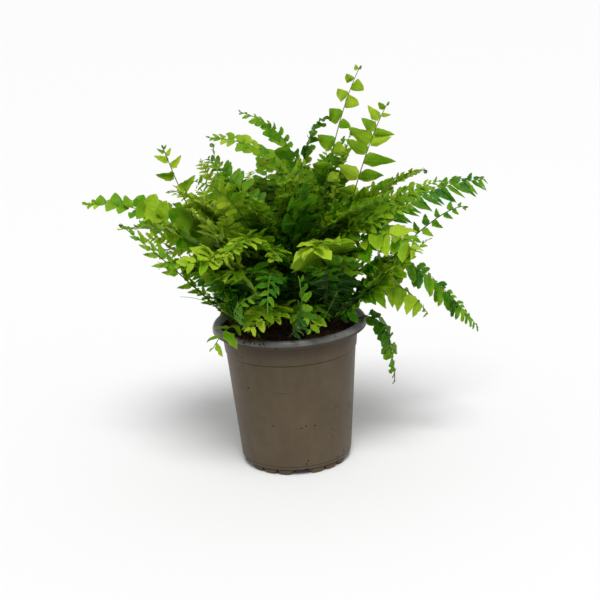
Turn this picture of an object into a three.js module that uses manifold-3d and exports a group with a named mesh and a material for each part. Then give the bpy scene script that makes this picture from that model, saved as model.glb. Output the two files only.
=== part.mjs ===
// Potted Boston fern: a young plant of fifty-odd fronds in a tapered nursery pot.
// Millimetres, +Z up. The origin is on the pot's axis, in the plane that its feet stand on,
// and +X is to the right when the pot is seen from the front, along +Y.

import * as THREE from "three";
import { mergeVertices } from "three/addons/utils/BufferGeometryUtils.js";
import Module from "manifold-3d";

// Pot
const POT_HEIGHT = 100;
const RIM_RADIUS = 52.5;
const RIM_DROP = 5; // from the crown of the rim down to its outer lower edge
const NECK_RADIUS = 46.6; // outer wall just under the rim
const BASE_RADIUS = 38.6; // outer wall just above the feet
const BAND_HEIGHT = 14; // plain band between the rim and the step in the wall
const STEP_DEPTH = 0.6; // how far the wall steps in under the band
const WALL = 1;
const POT_SIDES = 32;

// Feet, in groups of three under the floor's edge, with a drain hole between groups
const FOOT_HEIGHT = 5;
const FOOT_GROUPS = 5;
const FEET_IN_GROUP = 3;
const FOOT_PITCH = 18; // degrees
const FIRST_GROUP = -122; // degrees from +X, so that a gap faces the front
const FOOT_DEPTH = 6; // radially
const FOOT_INSET = 0.3; // from the edge of the floor
const FOOT_TOP_SPREAD = 16; // degrees that a foot spans where it leaves the floor
const FOOT_TIP_SPREAD = 10; // and at its flat underside
const DRAIN_RADIUS = 3;
const DRAIN_AT = 31;

// Soil
const SOIL_TOP = 91;
const SOIL_BUMP = 1.1;
const SOIL_GAP = 0.3; // to the pot's wall and floor
const SOIL_RINGS = [16, 31];
const SOIL_SIDES = 16;

// Fronds
const STEM_DEPTH = 8; // stem below the soil's surface
const COLLAR = 3.5; // how far a stem stands upright above the soil before it bends
const RIB_HALF_WIDTH = 0.65;
const RIB_HALF_THICK = 0.6;
const LEAF_HALF_THICK = 0.32;
const DROOP = 0.14; // how far a leaflet's tip curves down, as a share of its length
const LEAST_FANNING = 0.5; // room between leaflets at their tips, as a share of that at the rib
const HOLE_CLEARANCE = 0.35;
const SKIN = 0.35; // clear space kept all round a frond
const ROOT_SPACING = 4.6;
const MOST_DRAWS = 900;
const SMALLEST = 0.6; // share of its size left to a frond that finds its clear place last
const FARTHEST = [138, 106]; // how far the fronds may reach from the axis along X and Y

// Outlines of one leaflet, from its near edge round the tip to its far edge:
// how far out along the leaflet, and how far across it towards the frond's tip.
const LEAFLETS = {
  lance: [
    [0.42, -0.5],
    [1, 0.08],
    [0.5, 0.5],
  ],
  fan: [
    [0.5, -0.56],
    [1, -0.42],
    [0.8, 0.42],
    [0.25, 0.5],
  ],
};

const GREENS = {
  young: 0x8cc21e,
  full: 0x4f9a1c,
  deep: 0x24701f,
};

// Fronds that give the plant its outline. Each rib leaves the soil at root, passes through
// mid and ends at tip. bare is the share of the rib without leaflets, roll turns the blade
// about its rib in degrees, and lift raises the leaflets out of the blade's plane.
// prettier-ignore
const OUTLINE_FRONDS = [
  {
    name: "tall_fan", root: [12, 8], mid: [32, 12, 201], tip: [56, 15, 266],
    long: 9.5, wide: 0.8, pairs: 7, bare: 0.42, roll: 80, lift: 0, form: "fan", green: "young", give: 0.2,
  },
  {
    name: "top_sprig", root: [16, -4], mid: [27, 0, 155], tip: [47, -6, 225],
    long: 5, wide: 0.8, pairs: 4, bare: 0.6, roll: 60, lift: 0, form: "lance", green: "young", give: 0.3,
  },
  {
    name: "tall_pointed", root: [22, 0], mid: [50, 0, 186], tip: [72, -5, 243],
    long: 14, wide: 0.62, pairs: 8, bare: 0.3, roll: 75, lift: 0, form: "lance", green: "young", give: 0.3,
  },
  {
    name: "upper_left_back", root: [-3, 14], mid: [12, 25, 191], tip: [-24, 35, 237],
    long: 9.5, wide: 0.9, pairs: 10, bare: 0.2, roll: 15, lift: -15, form: "lance", green: "deep", give: 0.3,
  },
  {
    name: "upper_left", root: [-8, 4], mid: [3, 8, 190], tip: [-46, 5, 225],
    long: 11, wide: 0.9, pairs: 10, bare: 0.2, roll: 20, lift: -15, form: "lance", green: "full", give: 0.3,
  },
  {
    name: "upper_mid", root: [4, 10], mid: [15, 16, 202], tip: [35, 10, 232],
    long: 6, wide: 0.8, pairs: 6, bare: 0.4, roll: 30, lift: -10, form: "lance", green: "deep", give: 0.3,
  },
  {
    name: "left_short", root: [-18, -8], mid: [-37, -22, 186], tip: [-44, -25, 226],
    long: 9, wide: 0.8, pairs: 8, bare: 0.3, roll: 40, lift: 0, form: "lance", green: "full", give: 0.5,
  },
  {
    name: "left_upright", root: [-26, 4], mid: [-56, 8, 160], tip: [-77, 10, 220],
    long: 11, wide: 0.5, pairs: 7, bare: 0.35, roll: 70, lift: 5, form: "lance", green: "full", give: 0.3,
  },
  {
    name: "far_left", root: [-24, -10], mid: [-67, -4, 166], tip: [-134, 4, 185],
    long: 13, wide: 0.8, pairs: 9, bare: 0.25, roll: 35, lift: 0, form: "fan", green: "young", give: 0.2,
  },
  {
    name: "left_sparse", root: [-30, -14], mid: [-67, -32, 143], tip: [-103, -30, 178],
    long: 9, wide: 0.5, pairs: 9, bare: 0.25, roll: 60, lift: 0, form: "lance", green: "full", give: 0.3,
  },
  {
    name: "far_right", root: [26, 12], mid: [69, 24, 160], tip: [135, 34, 181],
    long: 15, wide: 0.8, pairs: 11, bare: 0.25, roll: -35, lift: -20, form: "lance", green: "deep", give: 0.2,
  },
  {
    name: "upper_right", root: [18, 4], mid: [59, 4, 177], tip: [96, 2, 195],
    long: 10, wide: 0.8, pairs: 8, bare: 0.25, roll: 10, lift: -5, form: "lance", green: "young", give: 0.4,
  },
  {
    name: "right_thin", root: [30, -4], mid: [80, -12, 151], tip: [121, -10, 172],
    long: 8, wide: 0.6, pairs: 8, bare: 0.3, roll: -60, lift: 0, form: "lance", green: "full", give: 0.4,
  },
  {
    name: "right_droop", root: [32, 8], mid: [70, 0, 135], tip: [127, -5, 85],
    long: 10.5, wide: 0.9, pairs: 12, bare: 0.25, roll: -25, lift: -10, form: "lance", green: "deep", give: 0.2,
  },
  {
    name: "right_hang", root: [32, -12], mid: [66, -30, 129], tip: [86, -35, 106],
    long: 14, wide: 0.8, pairs: 7, bare: 0.25, roll: -10, lift: -35, form: "lance", green: "young", give: 0.4,
  },
  {
    name: "rim_right", root: [38, -9], mid: [61, -15, 102], tip: [68, -14, 55],
    long: 7.5, wide: 0.95, pairs: 11, bare: 0.2, roll: -35, lift: -12, form: "lance", green: "deep", give: 0.4,
  },
  {
    name: "rim_left", root: [-26, -24], mid: [-36, -36, 108], tip: [-49, -45, 96],
    long: 8, wide: 0.8, pairs: 4, bare: 0.45, roll: 10, lift: -15, form: "lance", green: "young", give: 0.4,
  },
  {
    name: "front_left_low", root: [-4, -22], mid: [-10, -42, 121], tip: [-24, -62, 112],
    long: 14, wide: 0.9, pairs: 6, bare: 0.22, roll: 5, lift: -15, form: "lance", green: "young", give: 0.6,
  },
  {
    name: "front_right_low", root: [8, -20], mid: [11, -42, 118], tip: [13, -58, 109],
    long: 13, wide: 0.9, pairs: 6, bare: 0.25, roll: -10, lift: -20, form: "lance", green: "young", give: 0.6,
  },
  {
    name: "front_lime", root: [10, -14], mid: [22, -44, 153], tip: [18, -80, 168],
    long: 15, wide: 0.85, pairs: 7, bare: 0.2, roll: -10, lift: -10, form: "fan", green: "young", give: 0.6,
  },
  {
    name: "front_right_lime", root: [18, -10], mid: [50, -38, 160], tip: [78, -60, 158],
    long: 16, wide: 0.85, pairs: 8, bare: 0.2, roll: -15, lift: 0, form: "fan", green: "young", give: 0.6,
  },
  {
    name: "front_left", root: [-12, -18], mid: [-34, -48, 150], tip: [-62, -68, 158],
    long: 15, wide: 0.85, pairs: 8, bare: 0.18, roll: 25, lift: 5, form: "lance", green: "full", give: 0.6,
  },
  {
    name: "front_reach", root: [0, -12], mid: [-6, -58, 147], tip: [-10, -104, 136],
    long: 14, wide: 0.9, pairs: 8, bare: 0.2, roll: 10, lift: -5, form: "lance", green: "young", give: 0.6,
  },
  {
    name: "back_reach", root: [6, 16], mid: [10, 62, 150], tip: [4, 102, 148],
    long: 14, wide: 0.9, pairs: 8, bare: 0.2, roll: -10, lift: 0, form: "lance", green: "full", give: 0.5,
  },
];

// Fronds that fill the bush: rings of evenly turned fronds, each ring more upright than
// the one outside it. The first frond stands at start and the next are turn apart, in
// degrees. The skirt is left open at the front right, where the soil shows, and the
// upright ring at the right. Where there is a list, the ring's fronds take its values
// in turn.
// prettier-ignore
const RINGS = [
  {
    name: "skirt", count: 6, start: -18, turn: 51.4, rootRadius: 31,
    reach: [54, 55, 50], midHigh: [115, 119], tipHigh: [132, 127, 128],
    long: 12, wide: 0.9, pairs: 5, bare: 0.15,
    greens: ["deep", "full", "young"],
  },
  {
    name: "low", count: 9, start: 16, turn: 40, rootRadius: 27,
    reach: [90, 76, 94], midHigh: [132, 140], tipHigh: [142, 156, 152],
    long: 14.5, wide: 0.9, pairs: 7, bare: 0.16,
    greens: ["full", "young", "deep"],
  },
  {
    name: "middle", count: 10, start: 2, turn: 36, rootRadius: 19,
    reach: [76, 88, 62], midHigh: [152, 162], tipHigh: [184, 172, 190],
    long: 15, wide: 0.9, pairs: 7, bare: 0.16,
    greens: ["full", "young", "full"],
  },
  {
    name: "upright", count: 7, start: 45, turn: 45, rootRadius: 10,
    reach: [46, 55, 32], midHigh: [162, 172], tipHigh: [208, 204, 200],
    long: 14, wide: 0.9, pairs: 7, bare: 0.18,
    greens: ["deep", "full", "young"],
  },
];
const RING_GIVE = 1.8;
const RING_MID_SHARE = 0.52; // how far out along its reach a ring frond's middle is

const wasm = await Module();
wasm.setup();

const radians = (degrees) => (degrees * Math.PI) / 180;

/** Evenly spread draws from 0 to 1, the same for the same seed. */
function seeded(seed) {
  let state = seed >>> 0;
  return () => {
    state = (state + 0x6d2b79f5) >>> 0;
    let t = state;
    t = Math.imul(t ^ (t >>> 15), t | 1);
    t ^= t + Math.imul(t ^ (t >>> 7), t | 61);
    return ((t ^ (t >>> 14)) >>> 0) / 4294967296;
  };
}

/** A closed geometry as a solid that can be joined and cut. */
function solid(geometry) {
  const bare = new THREE.BufferGeometry();
  bare.setAttribute("position", geometry.getAttribute("position").clone());
  bare.setIndex(geometry.index);
  const merged = mergeVertices(bare, 1e-4);
  return new wasm.Manifold(
    new wasm.Mesh({
      numProp: 3,
      vertProperties: new Float32Array(merged.attributes.position.array),
      triVerts: new Uint32Array(merged.index.array),
    }),
  );
}

/** A solid's surface as a geometry. */
function surface(body) {
  const { vertProperties, triVerts } = body.getMesh();
  const geometry = new THREE.BufferGeometry();
  geometry.setAttribute("position", new THREE.BufferAttribute(vertProperties, 3));
  geometry.setIndex(new THREE.BufferAttribute(triVerts, 1));
  geometry.computeVertexNormals();
  return geometry;
}

/** A profile of [radius, height] points turned about Z. */
function turned(profile, sides) {
  const points = profile.map(([r, z]) => new THREE.Vector2(r, z));
  return solid(new THREE.LatheGeometry(points, sides).rotateX(Math.PI / 2));
}

/** A block between two rings, spread top and bottom angles about Z, wider at the top. */
function wedge(turn, [inner, outer], [low, high], [tipSpread, topSpread]) {
  const corner = (radius, angle, z) => {
    const a = radians(turn + angle);
    return [radius * Math.cos(a), radius * Math.sin(a), z];
  };
  const at = (z, spread) => [
    corner(inner, -spread / 2, z),
    corner(outer, -spread / 2, z),
    corner(outer, spread / 2, z),
    corner(inner, spread / 2, z),
  ];
  const geometry = new THREE.BufferGeometry();
  const corners = [...at(low, tipSpread), ...at(high, topSpread)].flat();
  geometry.setAttribute("position", new THREE.Float32BufferAttribute(corners, 3));
  // prettier-ignore
  geometry.setIndex([
    0, 3, 2, 0, 2, 1, 4, 5, 6, 4, 6, 7,
    0, 1, 5, 0, 5, 4, 1, 2, 6, 1, 6, 5,
    2, 3, 7, 2, 7, 6, 3, 0, 4, 3, 4, 7,
  ]);
  return solid(geometry);
}

/** Outer radius of the pot's wall at a height. */
function wallRadius(z) {
  const stepHeight = POT_HEIGHT - RIM_DROP - BAND_HEIGHT;
  const share = (z - FOOT_HEIGHT) / (POT_HEIGHT - FOOT_HEIGHT);
  const taper = BASE_RADIUS + (NECK_RADIUS - BASE_RADIUS) * share;
  return z < stepHeight ? taper - STEP_DEPTH : taper;
}

function potBody() {
  const stepHeight = POT_HEIGHT - RIM_DROP - BAND_HEIGHT;
  const rimUnder = POT_HEIGHT - RIM_DROP + 1.5;
  const shell = turned(
    [
      [0, FOOT_HEIGHT - WALL],
      [wallRadius(0) - WALL, FOOT_HEIGHT - WALL],
      [wallRadius(FOOT_HEIGHT), FOOT_HEIGHT],
      [wallRadius(stepHeight - 0.01), stepHeight - 0.6],
      [wallRadius(stepHeight), stepHeight],
      [NECK_RADIUS, rimUnder],
      [RIM_RADIUS - 1.1, rimUnder],
      [RIM_RADIUS - 1, POT_HEIGHT - RIM_DROP],
      [RIM_RADIUS, POT_HEIGHT - RIM_DROP],
      [RIM_RADIUS - 0.5, POT_HEIGHT - 1],
      [RIM_RADIUS - 2, POT_HEIGHT],
      [NECK_RADIUS + 0.8, POT_HEIGHT],
      [NECK_RADIUS - WALL, POT_HEIGHT - 2],
      [wallRadius(stepHeight) - WALL, stepHeight],
      [wallRadius(stepHeight - 0.01) - WALL, stepHeight - 1],
      [wallRadius(FOOT_HEIGHT) - WALL, FOOT_HEIGHT],
      [0, FOOT_HEIGHT],
    ],
    POT_SIDES,
  );
  const feet = [];
  const drains = [];
  const outer = wallRadius(0) - WALL - FOOT_INSET;
  const spreads = [FOOT_TIP_SPREAD, FOOT_TOP_SPREAD];
  for (let group = 0; group < FOOT_GROUPS; group++) {
    const middle = FIRST_GROUP + (360 / FOOT_GROUPS) * group;
    for (let k = 0; k < FEET_IN_GROUP; k++) {
      const turn = middle + (k - (FEET_IN_GROUP - 1) / 2) * FOOT_PITCH;
      feet.push(wedge(turn, [outer - FOOT_DEPTH, outer], [0, FOOT_HEIGHT - WALL / 2], spreads));
    }
    const drain = new THREE.CylinderGeometry(DRAIN_RADIUS, DRAIN_RADIUS, 4, 8);
    drain.rotateX(Math.PI / 2).translate(DRAIN_AT, 0, FOOT_HEIGHT - WALL / 2);
    drain.rotateZ(radians(middle + 180 / FOOT_GROUPS));
    drains.push(solid(drain));
  }
  const standing = feet.reduce((body, foot) => body.add(foot), shell);
  return drains.reduce((body, cut) => body.subtract(cut), standing);
}

/** Soil from the pot's floor to a crumbled surface a little under the rim. */
function soilBody() {
  const next = seeded(7);
  const sideRadius = (z) => wallRadius(z) - WALL - SOIL_GAP;
  const stepHeight = POT_HEIGHT - RIM_DROP - BAND_HEIGHT;
  const floor = FOOT_HEIGHT + SOIL_GAP;
  const rings = [
    { radius: sideRadius(floor), z: floor, bump: 0 },
    { radius: sideRadius(stepHeight - 1.2), z: stepHeight - 1.2, bump: 0 },
    { radius: sideRadius(SOIL_TOP) - 0.3, z: SOIL_TOP - 2, bump: 0.5 },
    ...[...SOIL_RINGS].reverse().map((radius) => ({ radius, z: SOIL_TOP, bump: SOIL_BUMP })),
  ];
  const points = [0, 0, floor];
  const faces = [];
  for (const { radius, z, bump } of rings) {
    for (let k = 0; k < SOIL_SIDES; k++) {
      const a = radians((360 / SOIL_SIDES) * k);
      points.push(radius * Math.cos(a), radius * Math.sin(a), z + bump * (2 * next() - 1));
    }
  }
  points.push(0, 0, SOIL_TOP);
  const top = points.length / 3 - 1;
  const at = (ring, k) => 1 + ring * SOIL_SIDES + (k % SOIL_SIDES);
  for (let k = 0; k < SOIL_SIDES; k++) {
    faces.push(0, at(0, k + 1), at(0, k));
    for (let ring = 0; ring < rings.length - 1; ring++) {
      faces.push(at(ring, k), at(ring, k + 1), at(ring + 1, k + 1));
      faces.push(at(ring, k), at(ring + 1, k + 1), at(ring + 1, k));
    }
    faces.push(at(rings.length - 1, k), at(rings.length - 1, k + 1), top);
  }
  const geometry = new THREE.BufferGeometry();
  geometry.setAttribute("position", new THREE.Float32BufferAttribute(points, 3));
  geometry.setIndex(faces);
  return solid(geometry);
}

/** Every frond as it would grow with nothing in its way. */
function plannedFronds() {
  const rings = RINGS.flatMap((ring) =>
    Array.from({ length: ring.count }, (_, k) => {
      const a = radians(ring.start + ring.turn * k);
      const out = (radius) => [radius * Math.cos(a), radius * Math.sin(a)];
      const inTurn = (values) => values[k % values.length];
      const reach = inTurn(ring.reach);
      const { long, wide, pairs, bare } = ring;
      return {
        name: ring.name + "_" + (k + 1),
        root: out(ring.rootRadius),
        mid: [...out(ring.rootRadius + (reach - ring.rootRadius) * RING_MID_SHARE), inTurn(ring.midHigh)],
        tip: [...out(reach), inTurn(ring.tipHigh)],
        ...{ long, wide, pairs, bare },
        roll: 0,
        lift: 0,
        form: "lance",
        green: inTurn(ring.greens),
        give: RING_GIVE,
      };
    }),
  );
  return [...OUTLINE_FRONDS, ...rings];
}

/**
 * One draw of a frond: its planned rib and roll, each moved by chance within its give.
 * Later draws move more and have shorter leaflets.
 */
function drawn(plan, index, attempt) {
  const next = seeded(1000 * (index + 1) + attempt);
  const give = plan.give * Math.min(1, 0.3 + attempt / 80);
  const moved = (values, far) =>
    values.map((v, axis) => v + (axis === 2 ? far / 2 : far) * give * (2 * next() - 1));
  return {
    ...plan,
    seed: 1000 * (index + 1) + attempt,
    long: plan.long * (1 - ((1 - SMALLEST) * attempt) / MOST_DRAWS),
    root: moved(plan.root, 5),
    mid: moved(plan.mid, 16),
    tip: moved(plan.tip, 20),
    roll: moved([plan.roll], 50)[0],
    lift: moved([plan.lift], 15)[0],
  };
}

/** The rib's place and frame at a share t of its length past the collar. */
function ribFrame(frond, t) {
  const root = new THREE.Vector3(frond.root[0], frond.root[1], SOIL_TOP + COLLAR);
  const mid = new THREE.Vector3(...frond.mid);
  const tip = new THREE.Vector3(...frond.tip);
  const knee = mid.multiplyScalar(2).addScaledVector(root, -0.5).addScaledVector(tip, -0.5);
  const curve = new THREE.QuadraticBezierCurve3(root, knee, tip);
  const at = curve.getPoint(Math.max(t, 0));
  const along = t < 0 ? new THREE.Vector3(0, 0, 1) : curve.getTangent(t);
  if (t < 0) at.z += t * (STEM_DEPTH + COLLAR);
  const ahead = new THREE.Vector3(tip.x - root.x, tip.y - root.y, 0).normalize();
  const side = new THREE.Vector3(ahead.y, -ahead.x, 0);
  side.addScaledVector(along, -side.dot(along)).normalize();
  const face = new THREE.Vector3().crossVectors(side, along);
  const turn = radians(frond.roll) * Math.min(1, Math.max(0, t / frond.bare));
  side.multiplyScalar(Math.cos(turn)).addScaledVector(face, Math.sin(turn));
  face.crossVectors(side, along);
  return { at, along, side, face };
}

/** A leaflet's length as a share of the frond's longest, u of the way along the blade. */
function leafletShare(u) {
  const rise = Math.min(1, 0.6 + 1.2 * u);
  return rise * Math.sqrt(Math.max(0.06, 1 - u ** 2.4));
}

/**
 * The line between two leaflets on one hand, out from the rib at a share t of its length.
 * Each leaflet stays between its two lines, so that neighbours never meet.
 */
function leafletEdge(frond, t, hand) {
  const { at, along, side, face } = ribFrame(frond, t);
  const u = Math.max(0, (t - frond.bare) / (1 - frond.bare));
  const lean = radians(8 + 34 * u * u);
  const out = side.clone().multiplyScalar(hand * Math.cos(lean)).addScaledVector(along, Math.sin(lean));
  return { from: at.addScaledVector(side, hand * RIB_HALF_WIDTH), out, face };
}

/** Shares of the rib's length where its leaflets part, from the first one's near edge on. */
function bladeStations(frond) {
  return Array.from({ length: frond.pairs + 1 }, (_, k) => {
    const x = k / (frond.pairs + 0.6);
    return frond.bare + (1 - frond.bare) * x * (1.15 - 0.15 * x);
  });
}

/** Whether the rib bends so tightly that neighbouring leaflets would meet at their tips. */
function pinched(frond) {
  const stations = bladeStations(frond);
  const high = Math.tan(radians(frond.lift)) - DROOP;
  const tipAt = (t, hand, length) => {
    const { from, out, face } = leafletEdge(frond, t, hand);
    return from.addScaledVector(out, length).addScaledVector(face, high * length);
  };
  return [-1, 1].some((hand) =>
    stations.slice(1).some((t, k) => {
      const length = frond.long * leafletShare((stations[k] - frond.bare) / (1 - frond.bare));
      const onRib = ribFrame(frond, t).at.distanceTo(ribFrame(frond, stations[k]).at);
      const apart = tipAt(t, hand, length).sub(tipAt(stations[k], hand, length));
      return apart.dot(ribFrame(frond, t).along) < LEAST_FANNING * onRib;
    }),
  );
}

/** Gives a thin sheet of triangles its thickness, each point along its own normal. */
function thickened(points, triangles) {
  const count = points.length;
  const position = new Float32Array(count * 6);
  points.forEach(({ at, normal, half }, i) => {
    at.clone().addScaledVector(normal, half).toArray(position, 3 * i);
    at.clone().addScaledVector(normal, -half).toArray(position, 3 * (count + i));
  });
  const faces = [];
  const edges = new Set();
  for (const [a, b, c] of triangles) {
    faces.push(a, b, c, count + a, count + c, count + b);
    for (const [from, to] of [[a, b], [b, c], [c, a]]) edges.add(from + ">" + to);
  }
  for (const edge of edges) {
    const [from, to] = edge.split(">").map(Number);
    if (edges.has(to + ">" + from)) continue;
    faces.push(from, count + from, count + to, from, count + to, to);
  }
  const geometry = new THREE.BufferGeometry();
  geometry.setAttribute("position", new THREE.BufferAttribute(position, 3));
  geometry.setIndex(faces);
  return solid(geometry);
}

/**
 * A frond: one thin arched blade, cut to the rib into leaflets, on a stem that stands
 * upright in the soil. skin makes it thicker all round, and stemmed leaves the stem on.
 */
function frondBody(frond, { skin = 0, stemmed = true } = {}) {
  const next = seeded(frond.seed);
  const points = [];
  const triangles = [];
  const add = (at, normal, half) => points.push({ at, normal, half: half + skin }) - 1;
  const ribPoint = (t, hand) => {
    const { at, side, face } = ribFrame(frond, t);
    return add(at.addScaledVector(side, hand * (RIB_HALF_WIDTH + skin)), face, RIB_HALF_THICK);
  };

  // Bare stem, then one stretch of rib for each pair of leaflets
  const bends = Math.ceil(8 * frond.bare);
  const bent = Array.from({ length: bends }, (_, k) => (frond.bare * (k + 1)) / bends);
  const stem = [...(stemmed ? [-1] : []), 0, ...bent];
  const stations = [...stem.slice(0, -1), ...bladeStations(frond)];
  const left = stations.map((t) => ribPoint(t, -1));
  const right = stations.map((t) => ribPoint(t, 1));
  for (let k = 0; k < stations.length - 1; k++) {
    triangles.push([left[k], right[k], right[k + 1]], [left[k], right[k + 1], left[k + 1]]);
  }
  const end = ribFrame(frond, 1);
  triangles.push([left.at(-1), right.at(-1), add(end.at, end.face, LEAF_HALF_THICK)]);

  for (let k = 0; k < frond.pairs; k++) {
    const near = stem.length - 1 + k;
    for (const hand of [-1, 1]) {
      const row = hand < 0 ? left : right;
      const u = ((stations[near] + stations[near + 1]) / 2 - frond.bare) / (1 - frond.bare);
      const length = frond.long * leafletShare(u) * (0.88 + 0.24 * next()) + skin;
      const lift = Math.tan(radians(frond.lift + 16 * (next() - 0.5)));
      const twist = Math.tan(radians(24 * (next() - 0.5)));
      const here = leafletEdge(frond, stations[near], hand);
      const there = leafletEdge(frond, stations[near + 1], hand);
      const onEdge = ({ from, out, face }, away, high) =>
        from.clone().addScaledVector(out, away * length).addScaledVector(face, high);
      const bend = (away) => (lift - DROOP * away) * away * length;
      const room = onEdge(here, 0.5, bend(0.5)).distanceTo(onEdge(there, 0.5, bend(0.5)));
      const fill = Math.min(0.9, (length * frond.wide) / room) + (2 * skin) / room;
      const place = ([away, over]) => {
        const high = bend(away) + twist * over * fill * room;
        return onEdge(here, away, high).lerp(onEdge(there, away, high), 0.5 + over * fill);
      };
      const outline = LEAFLETS[frond.form].map(place);
      const normal = new THREE.Vector3().crossVectors(
        place([1, 0]).sub(place([0, 0])),
        place([0.5, 0.5]).sub(place([0.5, -0.5])),
      );
      normal.normalize().multiplyScalar(hand);
      const loop = [row[near], ...outline.map((at) => add(at, normal, LEAF_HALF_THICK)), row[near + 1]];
      const turn = (a, b, c) => triangles.push(hand > 0 ? [a, b, c] : [a, c, b]);
      for (let i = 0, j = loop.length - 1; i + 1 < j; i++, j--) {
        turn(loop[i], loop[i + 1], loop[j]);
        if (i + 2 < j) turn(loop[i + 1], loop[j - 1], loop[j]);
      }
    }
  }
  return thickened(points, triangles);
}

const boxesMeet = (a, b) => [0, 1, 2].every((k) => a.min[k] < b.max[k] && b.min[k] < a.max[k]);
const crosses = (a, b) => boxesMeet(a.boundingBox(), b.boundingBox()) && a.intersect(b).volume() > 1e-4;

/** Draws each frond again until it is clear of the pot, the soil and the fronds before it. */
function clearFronds(plans, pot, soil) {
  const placed = [];
  plans.forEach((plan, index) => {
    for (let attempt = 0; ; attempt++) {
      if (attempt === MOST_DRAWS) throw new Error("no clear place for frond " + plan.name);
      const frond = drawn(plan, index, attempt);
      const apart = placed.every(({ frond: { root } }) => {
        return Math.hypot(frond.root[0] - root[0], frond.root[1] - root[1]) > ROOT_SPACING;
      });
      if (!apart || pinched(frond)) continue;
      const above = frondBody(frond, { skin: SKIN, stemmed: false });
      const { min, max } = above.boundingBox();
      if (FARTHEST.some((far, axis) => max[axis] > far || min[axis] < -far)) continue;
      if (crosses(above, pot) || crosses(above, soil)) continue;
      const skin = frondBody(frond, { skin: SKIN });
      if (placed.some(({ body }) => crosses(skin, body))) continue;
      placed.push({ frond, attempt, body: frondBody(frond) });
      break;
    }
  });
  return placed;
}

/** The plain upright hole that a frond's stem stands in. */
function stemHole(frond) {
  const width = 2 * (RIB_HALF_WIDTH + HOLE_CLEARANCE);
  const depth = 2 * (RIB_HALF_THICK + HOLE_CLEARANCE);
  const height = STEM_DEPTH + HOLE_CLEARANCE + 10;
  const { side } = ribFrame(frond, -1);
  const block = new THREE.BoxGeometry(width, depth, height);
  block.rotateZ(Math.atan2(side.y, side.x));
  block.translate(frond.root[0], frond.root[1], SOIL_TOP - STEM_DEPTH - HOLE_CLEARANCE + height / 2);
  return solid(block);
}

function named(name, body, color, roughness) {
  const material = new THREE.MeshStandardMaterial({ color, roughness, metalness: 0 });
  const mesh = new THREE.Mesh(surface(body), material);
  mesh.name = name;
  return mesh;
}

const plant = new THREE.Group();
const pot = potBody();
const soil = soilBody();
const fronds = clearFronds(plannedFronds(), pot, soil);
plant.add(named("pot", pot, 0x5f574b, 0.5));
plant.add(
  named(
    "soil",
    fronds.reduce((body, { frond }) => body.subtract(stemHole(frond)), soil),
    0x2a1c14,
    0.95,
  ),
);
for (const { frond, body } of fronds) {
  plant.add(named("frond_" + frond.name, body, GREENS[frond.green], 0.5));
}

export default plant;
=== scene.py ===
"""A young Boston fern in a tapered nursery pot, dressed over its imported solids.

Lengths in the tables are millimetres, in the solids' own frame: the origin is on the pot's
axis in the plane of its feet, +Z is up and +X is to the right of the pot's front.
"""

import bpy
import numpy as np
from mathutils import Matrix, Vector


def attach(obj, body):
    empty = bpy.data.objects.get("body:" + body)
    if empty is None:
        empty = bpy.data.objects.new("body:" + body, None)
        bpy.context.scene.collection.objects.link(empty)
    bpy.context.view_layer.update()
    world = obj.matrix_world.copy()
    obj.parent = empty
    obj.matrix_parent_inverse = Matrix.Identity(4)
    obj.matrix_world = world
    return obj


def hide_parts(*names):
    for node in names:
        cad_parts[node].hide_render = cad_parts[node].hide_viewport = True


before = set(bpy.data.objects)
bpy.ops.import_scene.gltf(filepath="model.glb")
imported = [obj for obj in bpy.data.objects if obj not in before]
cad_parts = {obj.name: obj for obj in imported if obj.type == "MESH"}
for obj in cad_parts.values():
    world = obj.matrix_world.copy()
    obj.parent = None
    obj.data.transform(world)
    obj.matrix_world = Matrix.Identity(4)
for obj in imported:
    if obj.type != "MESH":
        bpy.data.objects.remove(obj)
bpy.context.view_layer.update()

MM = 0.001

# Pot, in the sizes of the solid that it replaces
POT_HEIGHT = 100
RIM_RADIUS = 52.5
RIM_DROP = 5
NECK_RADIUS = 46.6
BASE_RADIUS = 38.6
BAND_HEIGHT = 14
STEP_HEIGHT = POT_HEIGHT - RIM_DROP - BAND_HEIGHT
STEP_DEPTH = 0.6
RIM_ROUND = 1.6
WALL = 1
POT_TURNS = 176
FOOT_HEIGHT = 5
FOOT_GROUPS = 5
FEET_IN_GROUP = 3
FOOT_PITCH = 18
FIRST_GROUP = -122
FOOT_DEPTH = 6
FOOT_INSET = 0.3
FOOT_TOP_SPREAD = 18.5
FOOT_TIP_SPREAD = 11
FOOT_ROWS = 9
FOOT_SIDES = 24
FOOT_BLOCK = 0.42
DRAIN_RADIUS = 3
DRAIN_AT = 31
DRAIN_SIDES = 24
SHARP_ANGLE = 38
SCRATCH_AT = (-0.0065, -0.041, 0.0615)
SCRATCH_HALF = 0.0085

# Soil
SOIL_TOP = 91
SOIL_HEAP = 4.2
SOIL_GAP = 0.3
SOIL_TURNS = 190
SOIL_RINGS = 67
SOIL_LUMPS = [(0.9, 11, 1), (0.55, 4.5, 2), (0.3, 1.7, 3)]  # height, cell and seed of a noise
CRUMBS = 1300
SPILT = 130
FIBRES = 320

# Fronds
STEM_DEPTH = 8
COLLAR = 3.5
MOST_DRAWS = 900
SMALLEST = 0.6
SAME_PLACE = 0.02
RIB_RADIUS = (0.62, 0.26)
RIB_SIDES = 6
RIB_STEPS = 34
CURL_STEPS = 28
LEAF_HALF_THICK = 0.11
LEAF_LEAN = 10
TIP_LEAN = 32
POINT = 0.0004
TEETH = 4.25
VEINS_ALONG = 9.0
VEIN_SLANT = 1.7
LEAF_VALUES = ("tone", "stalk", "dry")
LEAF_CELLS = {"folded": (9, 2), "broad": (7, 4)}

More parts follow.
